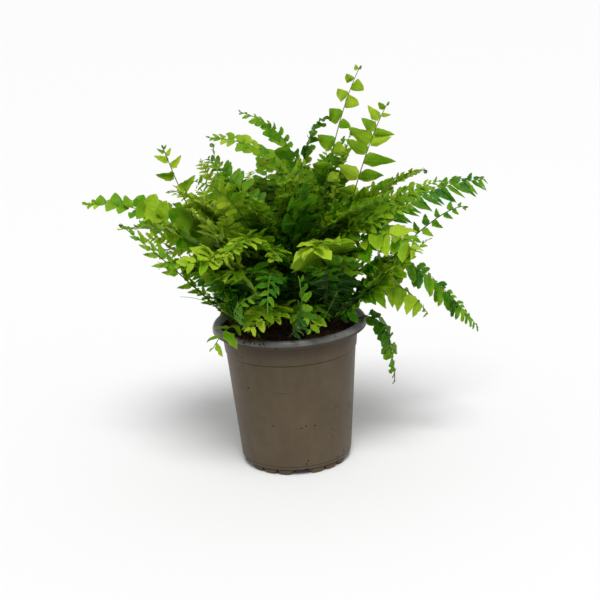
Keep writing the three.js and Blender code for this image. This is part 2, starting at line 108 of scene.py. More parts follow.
# Fronds of the outline, as in the solids: the rib's points, the leaflets' length, the share of
# the rib that is bare, the blade's roll and the leaflets' lift in degrees, the green, and how
# far chance may move it
PLAN_KEYS = ("name", "root", "mid", "tip", "long", "bare", "roll", "lift", "green", "give")
OUTLINE_FRONDS = [
    ("tall_fan", (12, 8), (32, 12, 201), (56, 15, 266), 9.5, 0.42, 80, 0, "young", 0.2),
    ("top_sprig", (16, -4), (27, 0, 155), (47, -6, 225), 5, 0.6, 60, 0, "young", 0.3),
    ("tall_pointed", (22, 0), (50, 0, 186), (72, -5, 243), 14, 0.3, 75, 0, "young", 0.3),
    ("upper_left_back", (-3, 14), (12, 25, 191), (-24, 35, 237), 9.5, 0.2, 15, -15, "deep", 0.3),
    ("upper_left", (-8, 4), (3, 8, 190), (-46, 5, 225), 11, 0.2, 20, -15, "full", 0.3),
    ("upper_mid", (4, 10), (15, 16, 202), (35, 10, 232), 6, 0.4, 30, -10, "deep", 0.3),
    ("left_short", (-18, -8), (-37, -22, 186), (-44, -25, 226), 9, 0.3, 40, 0, "full", 0.5),
    ("left_upright", (-26, 4), (-56, 8, 160), (-77, 10, 220), 11, 0.35, 70, 5, "full", 0.3),
    ("far_left", (-24, -10), (-67, -4, 166), (-134, 4, 185), 13, 0.25, 35, 0, "young", 0.2),
    ("left_sparse", (-30, -14), (-67, -32, 143), (-103, -30, 178), 9, 0.25, 60, 0, "full", 0.3),
    ("far_right", (26, 12), (69, 24, 160), (135, 34, 181), 15, 0.25, -35, -20, "deep", 0.2),
    ("upper_right", (18, 4), (59, 4, 177), (96, 2, 195), 10, 0.25, 10, -5, "young", 0.4),
    ("right_thin", (30, -4), (80, -12, 151), (121, -10, 172), 8, 0.3, -60, 0, "full", 0.4),
    ("right_droop", (32, 8), (70, 0, 135), (127, -5, 85), 10.5, 0.25, -25, -10, "deep", 0.2),
    ("right_hang", (32, -12), (66, -30, 129), (86, -35, 106), 14, 0.25, -10, -35, "young", 0.4),
    ("rim_right", (38, -9), (61, -15, 102), (68, -14, 55), 7.5, 0.2, -35, -12, "deep", 0.4),
    ("rim_left", (-26, -24), (-36, -36, 108), (-49, -45, 96), 8, 0.45, 10, -15, "young", 0.4),
    ("front_left_low", (-4, -22), (-10, -42, 121), (-24, -62, 112), 14, 0.22, 5, -15, "young", 0.6),
    ("front_right_low", (8, -20), (11, -42, 118), (13, -58, 109), 13, 0.25, -10, -20, "young", 0.6),
    ("front_lime", (10, -14), (22, -44, 153), (18, -80, 168), 15, 0.2, -10, -10, "young", 0.6),
    ("front_right_lime", (18, -10), (50, -38, 160), (78, -60, 158), 16, 0.2, -15, 0, "young", 0.6),
    ("front_left", (-12, -18), (-34, -48, 150), (-62, -68, 158), 15, 0.18, 25, 5, "full", 0.6),
    ("front_reach", (0, -12), (-6, -58, 147), (-10, -104, 136), 14, 0.2, 10, -5, "young", 0.6),
    ("back_reach", (6, 16), (10, 62, 150), (4, 102, 148), 14, 0.2, -10, 0, "full", 0.5),
]

# Fronds that fill the bush, in rings round the crown, as in the solids
RINGS = [
    dict(name="skirt", count=6, start=-18, turn=51.4, root_radius=31, reach=[54, 55, 50],
         mid_high=[115, 119], tip_high=[132, 127, 128], long=12, bare=0.15,
         greens=["deep", "full", "young"]),
    dict(name="low", count=9, start=16, turn=40, root_radius=27, reach=[90, 76, 94],
         mid_high=[132, 140], tip_high=[142, 156, 152], long=14.5, bare=0.16,
         greens=["full", "young", "deep"]),
    dict(name="middle", count=10, start=2, turn=36, root_radius=19, reach=[76, 88, 62],
         mid_high=[152, 162], tip_high=[184, 172, 190], long=15, bare=0.16,
         greens=["full", "young", "full"]),
    dict(name="upright", count=7, start=45, turn=45, root_radius=10, reach=[46, 55, 32],
         mid_high=[162, 172], tip_high=[208, 204, 200], long=14, bare=0.18,
         greens=["deep", "full", "young"]),
]
RING_GIVE = 1.8
RING_MID_SHARE = 0.52

# How light a green each kind of frond has, from 0, deep, to 1, lime
TONES = {"young": 0.82, "full": 0.57, "deep": 0.33}
RIB_BROWNS = {"young": 0.1, "full": 0.3, "deep": 0.45}

DRY_TIPS = {"rim_right": 0.1, "far_right": 0.03, "low_3": 0.06}

# How a frond's leaflets are dressed. leaf and cells: the outline and the net that carries it.
# ratio: half width as a share of length. long: length as a share of the plan's. step: millimetres
# between leaflets on one flank. fade: how late they shorten. uneven, ragged: chance in the length and
# in the edge. lopsided: how much longer they are on flank 1. lift, lean, twist: degrees up from the
# blade, towards the tip, and of chance about the midrib. tone: added to the green. rib: how brown it
# is. curl: a curled tip. flipped: the full side is turned to the stem on flank 1. layers: more
# leaflets, each (degrees of lift, share of the length, share kept). offshoots: younger fronds beside it.
PLAIN_LOOK = dict(
    leaf="tongue", cells="folded", ratio=0.27, long=1.0, step=5.8, fade=2.4, uneven=0.18, lopsided=0,
    lift=0, lean=0, twist=14, ragged=0.1, tone=0, rib=0.0, curl=False, flipped=False, layers=[],
    offshoots=0,
)
FULL_LOOK = dict(
    ratio=0.22, long=1.1, step=4.7, uneven=0.24, twist=13, ragged=0.13,
    layers=[(32, 0.8, 0.35)], offshoots=4,
)
FINE_LOOK = dict(
    leaf="acute", ratio=0.18, long=0.5, step=3, fade=4, uneven=0.25, tone=0.22,
    layers=[(40, 0.8, 0.6), (-35, 0.8, 0.6)], offshoots=2,
)
LOOKS = {
    "tall_fan": dict(leaf="quarter", cells="broad", ratio=0.5, long=1.3, fade=40, uneven=0.05, lean=-22,
        ragged=0, tone=0.06, twist=8, curl=True, flipped=True),
    "top_sprig": dict(leaf="acute", ratio=0.3, long=1.1, step=5, curl=True),
    "tall_pointed": dict(leaf="acute", cells="broad", ratio=0.29, long=1.28, fade=40, uneven=0.05, lean=-10,
        ragged=0.05, tone=0.06, twist=10, curl=True),
    "upper_left_back": dict(ratio=0.28, long=1.35, step=5.6, fade=1.7, lopsided=-0.3, lift=22, tone=0.12),
    "upper_left": dict(ratio=0.36, long=1.08, step=5.8, fade=4, lift=26, tone=-0.03),
    "upper_mid": dict(leaf="oblong", ratio=0.34, long=1.7, step=4.6, fade=1.2, tone=0.06),
    "left_short": dict(leaf="acute", ratio=0.3, long=1.1, step=6.5, curl=True),
    "left_upright": dict(leaf="acute", ratio=0.28, long=1.3, fade=40, uneven=0.05, rib=0.75, curl=True),
    "far_left": dict(leaf="quarter", cells="broad", ratio=0.45, long=1.8, step=8, fade=0.75, uneven=0.15,
        lift=14, ragged=0.04, tone=-0.22, offshoots=3),
    "left_sparse": dict(leaf="acute", ratio=0.22, long=1.3, step=8.6, fade=2.5, lean=38, tone=-0.12,
        rib=0.9, curl=True),
    "far_right": dict(leaf="acute", ratio=0.17, step=4.6, fade=12, uneven=0.1, lift=8, twist=6, tone=-0.04),
    "upper_right": dict(leaf="oblong", ratio=0.22, long=1.2, step=5.2, curl=True, layers=[(30, 0.8, 0.5)],
        offshoots=1),
    "right_thin": dict(leaf="acute", ratio=0.32, step=8.5, fade=3, tone=-0.1, rib=0.6, curl=True),
    "right_droop": dict(leaf="oblong", ratio=0.22, long=1.22, step=4.6, fade=3.6, uneven=0.1, lopsided=0.25,
        twist=8, tone=0.04),
    "right_hang": dict(leaf="acute", cells="broad", ratio=0.3, long=1.3, step=7.6, tone=-0.17, rib=0.7),
    "rim_right": dict(leaf="oblong", cells="broad", ratio=0.5, long=1.6, step=5.6, fade=1.6, tone=0.02),
    "rim_left": dict(leaf="toothed", cells="broad", ratio=0.19, long=2, step=8, fade=4, ragged=0.16),
    "front_left_low": dict(leaf="toothed", ratio=0.27, long=1.3, step=6.8, lift=14, tone=0.22,
        layers=[(28, 0.8, 0.5)], offshoots=1),
    "front_right_low": dict(leaf="toothed", ratio=0.26, long=1.2, step=6.6, lift=12, tone=0.06,
        layers=[(28, 0.8, 0.5)], offshoots=1),
    "front_lime": dict(cells="broad", ratio=0.29, long=1.6, step=8.5, fade=4, layers=[(25, 0.8, 0.5)]),
    "front_right_lime": dict(cells="broad", ratio=0.22, long=1.5, step=8, tone=-0.08,
        layers=[(25, 0.8, 0.5)]),
    "front_left": dict(cells="broad", ratio=0.22, long=1.5, step=8, tone=0.12, layers=[(25, 0.8, 0.5)],
        offshoots=1),
    "front_reach": dict(ratio=0.22, long=0.85, step=7, tone=-0.62),
    "skirt_1": dict(long=0.7, layers=[], offshoots=1),
    "skirt_5": dict(long=0.95, layers=[], offshoots=2),
    "skirt_6": dict(leaf="toothed", long=0.9, lift=35, tone=-0.3, layers=[], offshoots=0),
    "low_1": dict(long=0.6, layers=[], offshoots=1),
    "low_6": dict(long=1.25, layers=[(32, 0.8, 0.5), (-30, 0.8, 0.5)]),
    "low_7": dict(ratio=0.28, long=0.7, step=6.5, lift=20, tone=-0.2, rib=0.5, layers=[], offshoots=0),
    "low_8": dict(leaf="acute", cells="broad", ratio=0.34, long=1, step=8, tone=-0.36, rib=0.6, layers=[]),
    "low_9": dict(ratio=0.26, long=0.95, step=6, tone=0.28, offshoots=2),
    "middle_8": dict(tone=-0.2),
    "middle_9": dict(leaf="oblong", cells="broad", ratio=0.42, step=7, tone=-0.22, layers=[], offshoots=1),
    "upright_1": dict(long=1.3, tone=0.1),
    "upright_6": dict(leaf="oblong", ratio=0.36, step=6.5, tone=-0.18, layers=[], offshoots=2),
}
for fine in ("upright_3", "upright_7", "middle_4"):
    LOOKS[fine] = FINE_LOOK

# Leaflets placed one by one, for flank -1 and for flank 1: each (share of the blade, millimetres long)
PLACES = {
    "tall_fan": (
        [(0.08, 10), (0.31, 8.8), (0.51, 6.4), (0.68, 8.8), (0.825, 6.8)],
        [(0.2, 12.2), (0.405, 9), (0.625, 8.8), (0.775, 8.4), (0.9, 5.6), (0.985, 4)]),
    "tall_pointed": (
        [(0.12, 14), (0.28, 14), (0.45, 13.6), (0.565, 15.6), (0.695, 11), (0.765, 11), (0.905, 5)],
        [(0.2, 14), (0.32, 13), (0.445, 15), (0.63, 15), (0.705, 13.6), (0.8, 10.5), (0.875, 10), (0.95, 6)]),
    "left_upright": (
        [(0.1, 9), (0.3, 9), (0.775, 10), (0.89, 7.5), (0.96, 5)],
        [(0.05, 9), (0.2, 9), (0.66, 10.5), (0.84, 8), (0.93, 5), (0.985, 4)]),
}

# Each kind of tongue-shaped leaflet, where it differs from the plain one
TONGUES = {
    "tongue": {},
    "acute": dict(stalk=0.5, full=0.22, power=1.7, ease=0.85, ear=0.25, teeth=0.06),
    "oblong": dict(stalk=0.6, full=0.12, power=4.5, ease=0.5, ear=0.12, teeth=0.03),
    "toothed": dict(stalk=0.3, full=0.3, power=2.8, ear=0.1, teeth=0.15),
}

# How far a dressed frond's middle and its tip lie from the solid's
BENDS = {
    "tall_fan": ((0, 0, -1), (0, 0, -1)),
    "tall_pointed": ((0, 0, 2), (-1, 0, 0)),
    "upper_mid": ((-1, 0, 0), (2, 0, 0)),
    "left_upright": ((3, 0, -4), (2, 0, 1)),
    "far_left": ((0, 0, 0), (3, 0, 1)),
    "far_right": ((1, 0, 0), (5, 0, 0)),
    "upper_right": ((-1, 0, -4), (1, 0, 1)),
    "right_thin": ((6, 0, 5), (0, 0, 2)),
    "right_droop": ((-1, 0, 3), (0, 0, 3)),
    "rim_right": ((-3, 0, -5), (2, 0, 0)),
    "upright_1": ((4, 0, 0), (8, 0, -2)),
}

# Runners: each starts, bends and ends here
RUNNERS = [
    [(-24, -20, 93), (-44, -34, 128), (-69, -40, 131)],
    [(14, -30, 93), (20, -62, 112), (32, -64, 136)],
    [(-12, 24, 93), (-30, 50, 120), (-50, 62, 124)],
]

# Lighter and darker places of the bush, as painted light and shade: x, y, z, reach and how much is added to
# the green, below 0 painted shade in the bush's depths, above 0 painted light where leaves face the light
PAINTED_LIGHT_PLACES = [
    (0, 0, 125, 46, -0.36),
    (-8, -30, 140, 28, -0.2),
    (-4, -20, 172, 24, -0.22),
    (14, -15, 202, 20, 0.22),
    (32, -40, 118, 22, -0.5),
    (-4, -58, 128, 22, -0.25),
    (75, -20, 135, 24, 0.15),
    (22, -45, 160, 22, 0.16),
    (60, -40, 165, 24, 0.06),
    (-45, -45, 160, 34, 0.3),
    (-48, -10, 195, 42, 0.26),
]

# Colours, as linear values
LEAF_RAMP = [
    (0.0, (0.006, 0.032, 0.002)),
    (0.25, (0.018, 0.088, 0.002)),
    (0.5, (0.066, 0.2, 0.003)),
    (0.8, (0.172, 0.315, 0.008)),
    (1.0, (0.32, 0.46, 0.02)),
]
RIB_RAMP = [
    (0.0, (0.12, 0.21, 0.02)),
    (0.5, (0.045, 0.062, 0.014)),
    (1.0, (0.05, 0.026, 0.012)),
]
POT_TAUPE = (0.091, 0.067, 0.0395)
# Painted sheen: the rim's pale grey stands in for the sky's reflection on it
POT_RIM_SHEEN = (0.16, 0.165, 0.16)
MIDRIB_PALE = (0.3, 0.42, 0.08)
FORK_DARK = (0.02, 0.07, 0.008)
DRY_BROWN = (0.12, 0.052, 0.02)
# Painted shade under the rim and in the step's groove, and the pot's dark foot line and scratch
SHADE_AND_LINE_DARK = (0.018, 0.014, 0.011)
SPECK_DARK = (0.016, 0.011, 0.008)
GRAIN_RED = (0.11, 0.045, 0.02)

# Camera, in metres and degrees, and floor
CAMERA_AWAY = 0.9
CAMERA_DOWN = 16.5
CAMERA_ROLL = -3.3
CAMERA_AIM = np.array([0.008, 0, 0.1124])
SENSOR_WIDTH = 36
VIEW_WIDTH = 0.4062
FLOOR_HALF = 20000


# Draws

def seeded(seed):
    """Evenly spread draws from 0 to 1, the same as the solids have for the same seed."""
    state = seed & 0xFFFFFFFF

    def product(a, b):
        return (a * b) & 0xFFFFFFFF

    def draw():
        nonlocal state
        state = (state + 0x6D2B79F5) & 0xFFFFFFFF
        t = state
        t = product(t ^ (t >> 15), t | 1)
        t ^= (t + product(t ^ (t >> 7), t | 61)) & 0xFFFFFFFF
        return ((t ^ (t >> 14)) & 0xFFFFFFFF) / 4294967296

    return draw


def planned_fronds():
    """Every frond's plan: the outline's, then each ring's, evenly turned about the pot's axis."""
    plans = [dict(zip(PLAN_KEYS, row)) for row in OUTLINE_FRONDS]
    for ring in RINGS:
        for k in range(ring["count"]):
            a = np.radians(ring["start"] + ring["turn"] * k)
            out = np.array([np.cos(a), np.sin(a)])
            reach, mid_high, tip_high, green = (
                ring[key][k % len(ring[key])] for key in ("reach", "mid_high", "tip_high", "greens"))
            middle = ring["root_radius"] + (reach - ring["root_radius"]) * RING_MID_SHARE
            plans.append(dict(
                name=f"{ring['name']}_{k + 1}", root=out * ring["root_radius"],
                mid=[*(out * middle), mid_high], tip=[*(out * reach), tip_high],
                long=ring["long"], bare=ring["bare"], roll=0, lift=0, green=green, give=RING_GIVE,
            ))
    return plans


def drawn(plan, index, attempt):
    """One draw of a frond: each value moved by its give, and leaflets shorter in later draws."""
    draw = seeded(1000 * (index + 1) + attempt)
    give = plan["give"] * min(1, 0.3 + attempt / 80)

    def moved(values, far):
        fars = (far, far, far / 2)
        return [v + reach * give * (2 * draw() - 1) for v, reach in zip(values, fars)]

    return dict(
        plan,
        root=np.array([*moved(plan["root"], 5), SOIL_TOP + COLLAR]),
        mid=np.array(moved(plan["mid"], 16)),
        tip=np.array(moved(plan["tip"], 20)),
        roll=moved([plan["roll"]], 50)[0],
        lift=moved([plan["lift"]], 15)[0],
        long=plan["long"] * (1 - (1 - SMALLEST) * attempt / MOST_DRAWS),
    )


def grown_frond(plan, index):
    """The draw that the solid was made from: the one whose stem stands where the solid's does."""
    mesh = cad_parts["frond_" + plan["name"]].data
    points = np.empty(len(mesh.vertices) * 3)
    mesh.vertices.foreach_get("co", points)
    points = points.reshape(-1, 3) / MM
    low = np.abs(points[:, 2] - (SOIL_TOP - STEM_DEPTH)) < SAME_PLACE
    foot = points[low & (np.hypot(points[:, 0], points[:, 1]) < NECK_RADIUS - WALL)]
    foot = (foot.min(0) + foot.max(0))[:2] / 2
    for attempt in range(MOST_DRAWS):
        frond = drawn(plan, index, attempt)
        if np.hypot(*(frond["root"][:2] - foot)) < SAME_PLACE:
            return dict(frond, seed=1000 * (index + 1) + attempt)
    raise RuntimeError("no draw stands where the stem of " + plan["name"] + " does")


# Points and meshes

def unit(vectors):
    """Each vector divided by its length."""
    return vectors / np.linalg.norm(vectors, axis=-1, keepdims=True)


def around(radius, turn, z=0.0):
    """Points (radius x cosine, radius x sine of turn, z)."""
    return np.stack(np.broadcast_arrays(radius * np.cos(turn), radius * np.sin(turn), z), axis=-1)


def full_turn(count):
    """Even turns of a full circle."""
    return np.linspace(0, 2 * np.pi, count, endpoint=False)


def bent(s, start, knee, end):
    """The quadratic curve from start to end, drawn towards knee, at shares s."""
    return (1 - s) ** 2 * start + 2 * s * (1 - s) * knee + s ** 2 * end


def put_mesh(name, parts, material, smooth=True):
    """Joins parts into one object. A part has points, faces and, for each point, attributes."""

    def joined(key):
        return np.concatenate([part[key] for part in parts])

    starts = np.cumsum([0] + [len(part["points"]) for part in parts])
    faces = []
    for part, start in zip(parts, starts):
        for group in part["faces"]:
            faces += (group + start).tolist()
    mesh = bpy.data.meshes.new(name)
    mesh.from_pydata((joined("points") * MM).tolist(), [], faces)
    for key in LEAF_VALUES:
        if key in parts[0]:
            layer = mesh.attributes.new(key, "FLOAT", "POINT")
            layer.data.foreach_set("value", joined(key).astype(np.float32))
    if "blade" in parts[0]:
        corner = np.empty(len(mesh.loops), dtype=np.int32)
        mesh.loops.foreach_get("vertex_index", corner)
        layer = mesh.uv_layers.new(name="blade")
        layer.data.foreach_set("uv", joined("blade")[corner].astype(np.float32).ravel())
    if "rim" in parts[0]:
        ends = np.empty(len(mesh.edges) * 2, dtype=np.int32)
        mesh.edges.foreach_get("vertices", ends)
        sharp = joined("rim")[ends.reshape(-1, 2)].all(axis=1)
        mesh.attributes.new("sharp_edge", "BOOLEAN", "EDGE").data.foreach_set("value", sharp)
    mesh.polygons.foreach_set("use_smooth", np.full(len(mesh.polygons), smooth))
    mesh.materials.append(material)
    mesh.update()
    obj = bpy.data.objects.new(name, mesh)
    bpy.context.scene.collection.objects.link(obj)
    return obj


def dressed(obj, slot, *nodes):
    """Fixes a piece to the body and hides the solids that it stands for. Its slot is not used."""
    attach(obj, "root")
    if nodes:
        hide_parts(*nodes)


def grid_faces(rows, columns):
    """Quads of a grid of points, rows by columns, whose last column meets its first."""
    index = np.arange(rows * columns).reshape(rows, columns)
    index = np.concatenate([index, index[:, :1]], axis=1)
    corners = [index[:-1, :-1], index[:-1, 1:], index[1:, 1:], index[1:, :-1]]
    return np.stack(corners, axis=-1).reshape(-1, 4)


def fan_faces(ring, pole, flipped):
    """Triangles from a ring of points to one pole."""
    after = np.roll(ring, -1)
    sides = (after, ring) if flipped else (ring, after)
    return np.stack([*sides, np.full(len(ring), pole)], axis=-1)


def closed_rings(rings, first, last):
    """The surface through rings of points, closed by a fan to the point first and one to last."""
    rows, sides = rings.shape[:2]
    count = rows * sides
    return dict(points=np.concatenate([rings.reshape(-1, 3), [first, last]]), faces=[
        grid_faces(rows, sides),
        fan_faces(np.arange(sides), count, flipped=True),
        fan_faces(np.arange(count - sides, count), count + 1, flipped=False),
    ])


def tube(path, side, face, radius, sides=RIB_SIDES):
    """A tube: circles of radius r in the plane of side and face at each path point, closed at both ends."""
    turn = full_turn(sides)[:, None]
    ring = np.cos(turn) * side[:, None] + np.sin(turn) * face[:, None]
    return closed_rings(path[:, None] + ring * radius[:, None, None], path[0], path[-1])


def per_point(values):
    """A value for each point of a rib's tube, from one for each of its rings."""
    return np.concatenate([np.repeat(values, RIB_SIDES), values[:1], values[-1:]])


def smooth_noise(x, y, cell, seed):
    """Value noise: a hashed height at each corner of a square net, eased between corners."""
    i, j = np.floor(x / cell), np.floor(y / cell)
    u, v = x / cell - i, y / cell - j
    u, v = u * u * (3 - 2 * u), v * v * (3 - 2 * v)

    def corner(a, b):
        s = np.sin(a * 127.1 + b * 311.7 + seed * 74.7) * 43758.5453
        return s - np.floor(s)

    low = corner(i, j) * (1 - u) + corner(i + 1, j) * u
    high = corner(i, j + 1) * (1 - u) + corner(i + 1, j + 1) * u
    return 2 * (low * (1 - v) + high * v) - 1


# Materials. A step that reads a socket is put in the node tree that the socket belongs to.

def tree_of(name):
    """A new material: (material, node tree, surface shader)."""
    material = bpy.data.materials.new(name)
    material.use_nodes = True
    tree = material.node_tree
    return material, tree, tree.nodes["Principled BSDF"]


def feed(socket, value):
    """Links value to a socket, or sets it there."""
    if isinstance(value, bpy.types.NodeSocket):
        socket.id_data.links.new(value, socket)
    else:
        socket.default_value = value


def fill(node, **inputs):
    """Sets a node's properties and feeds its inputs, by name, or by number as i0, i1."""
    for key, value in inputs.items():
        if hasattr(node, key):
            setattr(node, key, value)
        elif key[1:].isdigit():
            feed(node.inputs[int(key[1:])], value)
        else:
            feed(node.inputs[key.replace("_", " ")], value)
    return node


def placed(tree, kind, **inputs):
    """A new node, filled."""
    return fill(tree.nodes.new("ShaderNode" + kind), **inputs)


def worked(operation, a, b=0.0, clamp=False):
    """One arithmetic step."""
    tree = (a if isinstance(a, bpy.types.NodeSocket) else b).id_data
    return placed(tree, "Math", operation=operation, use_clamp=clamp, i0=a, i1=b).outputs[0]


def plus(a, b, clamp=False):
    """a + b, held to 0..1 if clamp is set."""
    return worked("ADD", a, b, clamp)


def less(a, b):
    """a - b."""
    return worked("SUBTRACT", a, b)


def times(a, b):
    """a x b."""
    return worked("MULTIPLY", a, b)


def mapped(value, low, high, to_low=0.0, to_high=1.0, kind="LINEAR"):
    """value carried from low..high to to_low..to_high, evenly or eased, and held at the ends."""
    node = placed(value.id_data, "MapRange", interpolation_type=kind, Value=value, From_Min=low,
                  From_Max=high, To_Min=to_low, To_Max=to_high)
    return node.outputs["Result"]


def blended(share, a, b):
    """Colour a with b laid over it by share."""
    node = placed(share.id_data, "Mix", data_type="RGBA")
    for number, value in ((0, share), (6, a), (7, b)):
        feed(node.inputs[number], (*value, 1) if isinstance(value, tuple) else value)
    return node.outputs[2]


def ramp(value, stops):
    """A colour read from stops of (place, colour)."""
    node = placed(value.id_data, "ValToRGB", Fac=value)
    band = node.color_ramp
    while len(band.elements) < len(stops):
        band.elements.new(0.5)
    for element, (place, colour) in zip(band.elements, stops):
        element.position = place
        element.color = (*colour, 1)
    return node.outputs["Color"]


def shaded(colour, share):
    """A colour made share times as light."""
    return tuple(share * v for v in colour)


def group_tree(name, inputs, outputs):
    """An empty node group with number or vector inputs and number outputs."""
    tree = bpy.data.node_groups.new(name, "ShaderNodeTree")
    for key, value in inputs.items():
        kind = "NodeSocketVector" if value is None else "NodeSocketFloat"
        socket = tree.interface.new_socket(key, in_out="INPUT", socket_type=kind)
        if value is not None:
            socket.default_value = value
    for key in outputs:
        tree.interface.new_socket(key, in_out="OUTPUT", socket_type="NodeSocketFloat")
    return tree, tree.nodes.new("NodeGroupInput").outputs, tree.nodes.new("NodeGroupOutput").inputs


def mottle_group():
    """Soft blotches: two noises, one four times as fine as the other, added 2 to 1 and centred on 0."""
    given = {"Place": None, "Scale": 100.0, "Strength": 1.0}
    tree, given, made = group_tree("mottle", given, ["Blotch"])
    finer = times(given["Scale"], 4.0)
    coarse = placed(tree, "TexNoise", Vector=given["Place"], Scale=given["Scale"], Detail=2.0)
    fine = placed(tree, "TexNoise", Vector=given["Place"], Scale=finer, Detail=3.0)
    total = plus(times(coarse.outputs["Fac"], 2.0), fine.outputs["Fac"])
    feed(made["Blotch"], times(less(total, 1.5), given["Strength"]))
    return tree


def vein_group():
    """Leaflet veins: the midrib where across is 0, and forks that leave it slanting to the tip,
    where the sine of (count x along - slant x |across|) peaks."""
    given = {"Blade": None, "Count": VEINS_ALONG}
    tree, given, made = group_tree("leaflet veins", given, ["Midrib", "Forks"])
    blade = placed(tree, "SeparateXYZ", Vector=given["Blade"]).outputs
    off = worked("ABSOLUTE", less(times(blade["Y"], 2.0), 1.0))
    feed(made["Midrib"], mapped(off, 0.03, 0.14, 1.0, 0.0, kind="SMOOTHSTEP"))
    phase = less(times(blade["X"], given["Count"]), times(off, VEIN_SLANT))
    wave = worked("SINE", times(phase, 6.2832))
    feed(made["Forks"], mapped(wave, 0.35, 1.0, kind="SMOOTHSTEP"))
    return tree


def mottled(place, scale, strength):
    """The blotches at place."""
    node = placed(place.id_data, "Group", node_tree=MOTTLE, Place=place, Scale=scale, Strength=strength)
    return node.outputs["Blotch"]


def bumped(shader, height, distance, strength):
    """Relief from height, distance metres deep, on the shader's normal."""
    node = placed(shader.id_data, "Bump", Height=height, Distance=distance, Strength=strength)
    feed(shader.inputs["Normal"], node.outputs["Normal"])


def leaf_material(name, roughness):
    """Living frond: the leaflet's green runs from deep to lime with its tone, its midrib is paler and
    its forked veins darker, dry tips are brown, and ribs go from green at the tip to brown below."""
    material, tree, shader = tree_of(name)
    place = placed(tree, "TexCoord").outputs["Object"]
    blade = placed(tree, "UVMap", uv_map="blade").outputs["UV"]
    tone, stalk, dry = (
        placed(tree, "Attribute", attribute_name=key).outputs["Fac"] for key in LEAF_VALUES)
    blotch = mottled(place, 110.0, 0.16)
    veins = placed(tree, "Group", node_tree=VEINS, Blade=blade, Count=VEINS_ALONG).outputs
    leaflet = ramp(plus(tone, blotch, clamp=True), LEAF_RAMP)
    pale = blended(times(veins["Midrib"], 0.2), leaflet, MIDRIB_PALE)
    forked = blended(times(veins["Forks"], 0.16), pale, FORK_DARK)
    rib_colour = ramp(plus(stalk, blotch, clamp=True), RIB_RAMP)
    living = blended(mapped(stalk, 0.001, 0.01), forked, rib_colour)
    relief = less(less(times(blotch, 2.0), times(veins["Forks"], 0.5)), veins["Midrib"])
    bumped(shader, relief, 0.00012, 0.8)
    fill(
        shader, Base_Color=blended(dry, living, DRY_BROWN), Specular_IOR_Level=0.08,
        Roughness=mapped(blotch, -0.12, 0.12, roughness - 0.07, roughness + 0.09),
        Subsurface_Weight=0.3, Subsurface_Radius=(0.5, 1.0, 0.12), Subsurface_Scale=0.0016,
    )
    return material


def level_line(height, level, half, reach, strength):
    """A level line: strength within half of its height and gone at reach from it."""
    off = worked("ABSOLUTE", less(height, level))
    return mapped(off, half, reach, strength, 0.0, kind="SMOOTHSTEP")


def scratch(place, height):
    """A faint level scratch, strongest in its middle and gone at its ends."""
    away = placed(place.id_data, "VectorMath", operation="DISTANCE", i0=place, i1=SCRATCH_AT)
    fading = mapped(away.outputs["Value"], 0.4 * SCRATCH_HALF, SCRATCH_HALF, 1.0, 0.0, kind="SMOOTHSTEP")
    return times(level_line(height, SCRATCH_AT[2], 0.0001, 0.0004, 0.4), fading)


def pot_material():
    """Thermoformed grey-brown plastic: faint upright streaks, a darker line in the step of the wall that is
    painted shade in its groove, painted shade under the rim, a glossier rim made greyer by a painted sheen,
    dark specks, and a little dried soil on the rim and low on the wall."""
    material, tree, shader = tree_of("pot plastic")
    place = placed(tree, "TexCoord").outputs["Object"]
    height = placed(tree, "SeparateXYZ", Vector=place).outputs["Z"]
    blotch = mottled(place, 38.0, 0.5)
    drawn_out = placed(tree, "Mapping", Vector=place, Scale=(1.0, 1.0, 0.08)).outputs[0]
    streak = mottled(drawn_out, 170.0, 0.5)
    tint = plus(times(blotch, 0.5), times(streak, 0.14))
    wall = ramp(mapped(tint, -0.25, 0.25), [
        (0.0, shaded(POT_TAUPE, 0.8)), (0.5, POT_TAUPE), (1.0, shaded(POT_TAUPE, 1.22)),
    ])
    # Painted sheen: the rim is blended to a paler grey, standing in for the sky's reflection on its gloss
    rim = mapped(height, 0.0962, 0.0974, kind="SMOOTHSTEP")
    pale = ramp(mapped(blotch, -0.2, 0.2), [(0.0, shaded(POT_RIM_SHEEN, 0.72)), (1.0, shaded(POT_RIM_SHEEN, 1.3))])
    body = blended(times(rim, 0.85), wall, pale)
    # Painted shade under the rim: darker up the band towards the rim, strongest just under its lip
    painted_shade_and_lines = times(mapped(height, 0.083, 0.0935, 0.0, 0.5, kind="SMOOTHSTEP"),
                  mapped(height, 0.0962, 0.0972, 1.0, 0.0))
    # Painted shade in the groove of the step
    step_groove_shade = level_line(height, (STEP_HEIGHT - 0.3) * MM, 0.0002, 0.0006, 0.8)
    foot_line = level_line(height, (FOOT_HEIGHT + 1.7) * MM, 0.0001, 0.0005, 0.7)
    for line in (step_groove_shade, foot_line, scratch(place, height)):
        painted_shade_and_lines = worked("MAXIMUM", painted_shade_and_lines, line)
    shaded_and_lined = blended(painted_shade_and_lines, body, SHADE_AND_LINE_DARK)
    grain = placed(tree, "TexVoronoi", Vector=place, Scale=340.0, Randomness=1.0).outputs["Distance"]
    sparse = placed(tree, "TexNoise", Vector=place, Scale=90.0, Detail=1.0).outputs["Fac"]
    dirt = plus(mapped(height, 0.012, 0.05, 0.5, 0.0), mapped(height, 0.088, 0.099, 0.0, 0.55))
    keep = less(0.68, times(dirt, 0.2))
    speck = times(mapped(grain, 0.16, 0.3, 1.0, 0.0, kind="SMOOTHSTEP"),
                  mapped(less(sparse, keep), -0.01, 0.01))
    glossy = less(mapped(tint, -0.25, 0.25, 0.5, 0.4), times(rim, 0.16))
    bumped(shader, plus(streak, times(speck, 0.6)), 0.00012, 0.6)
    fill(shader, Base_Color=blended(times(speck, 0.85), shaded_and_lined, SPECK_DARK),
         Roughness=plus(glossy, times(speck, 0.3)), Specular_IOR_Level=0.18)
    return material


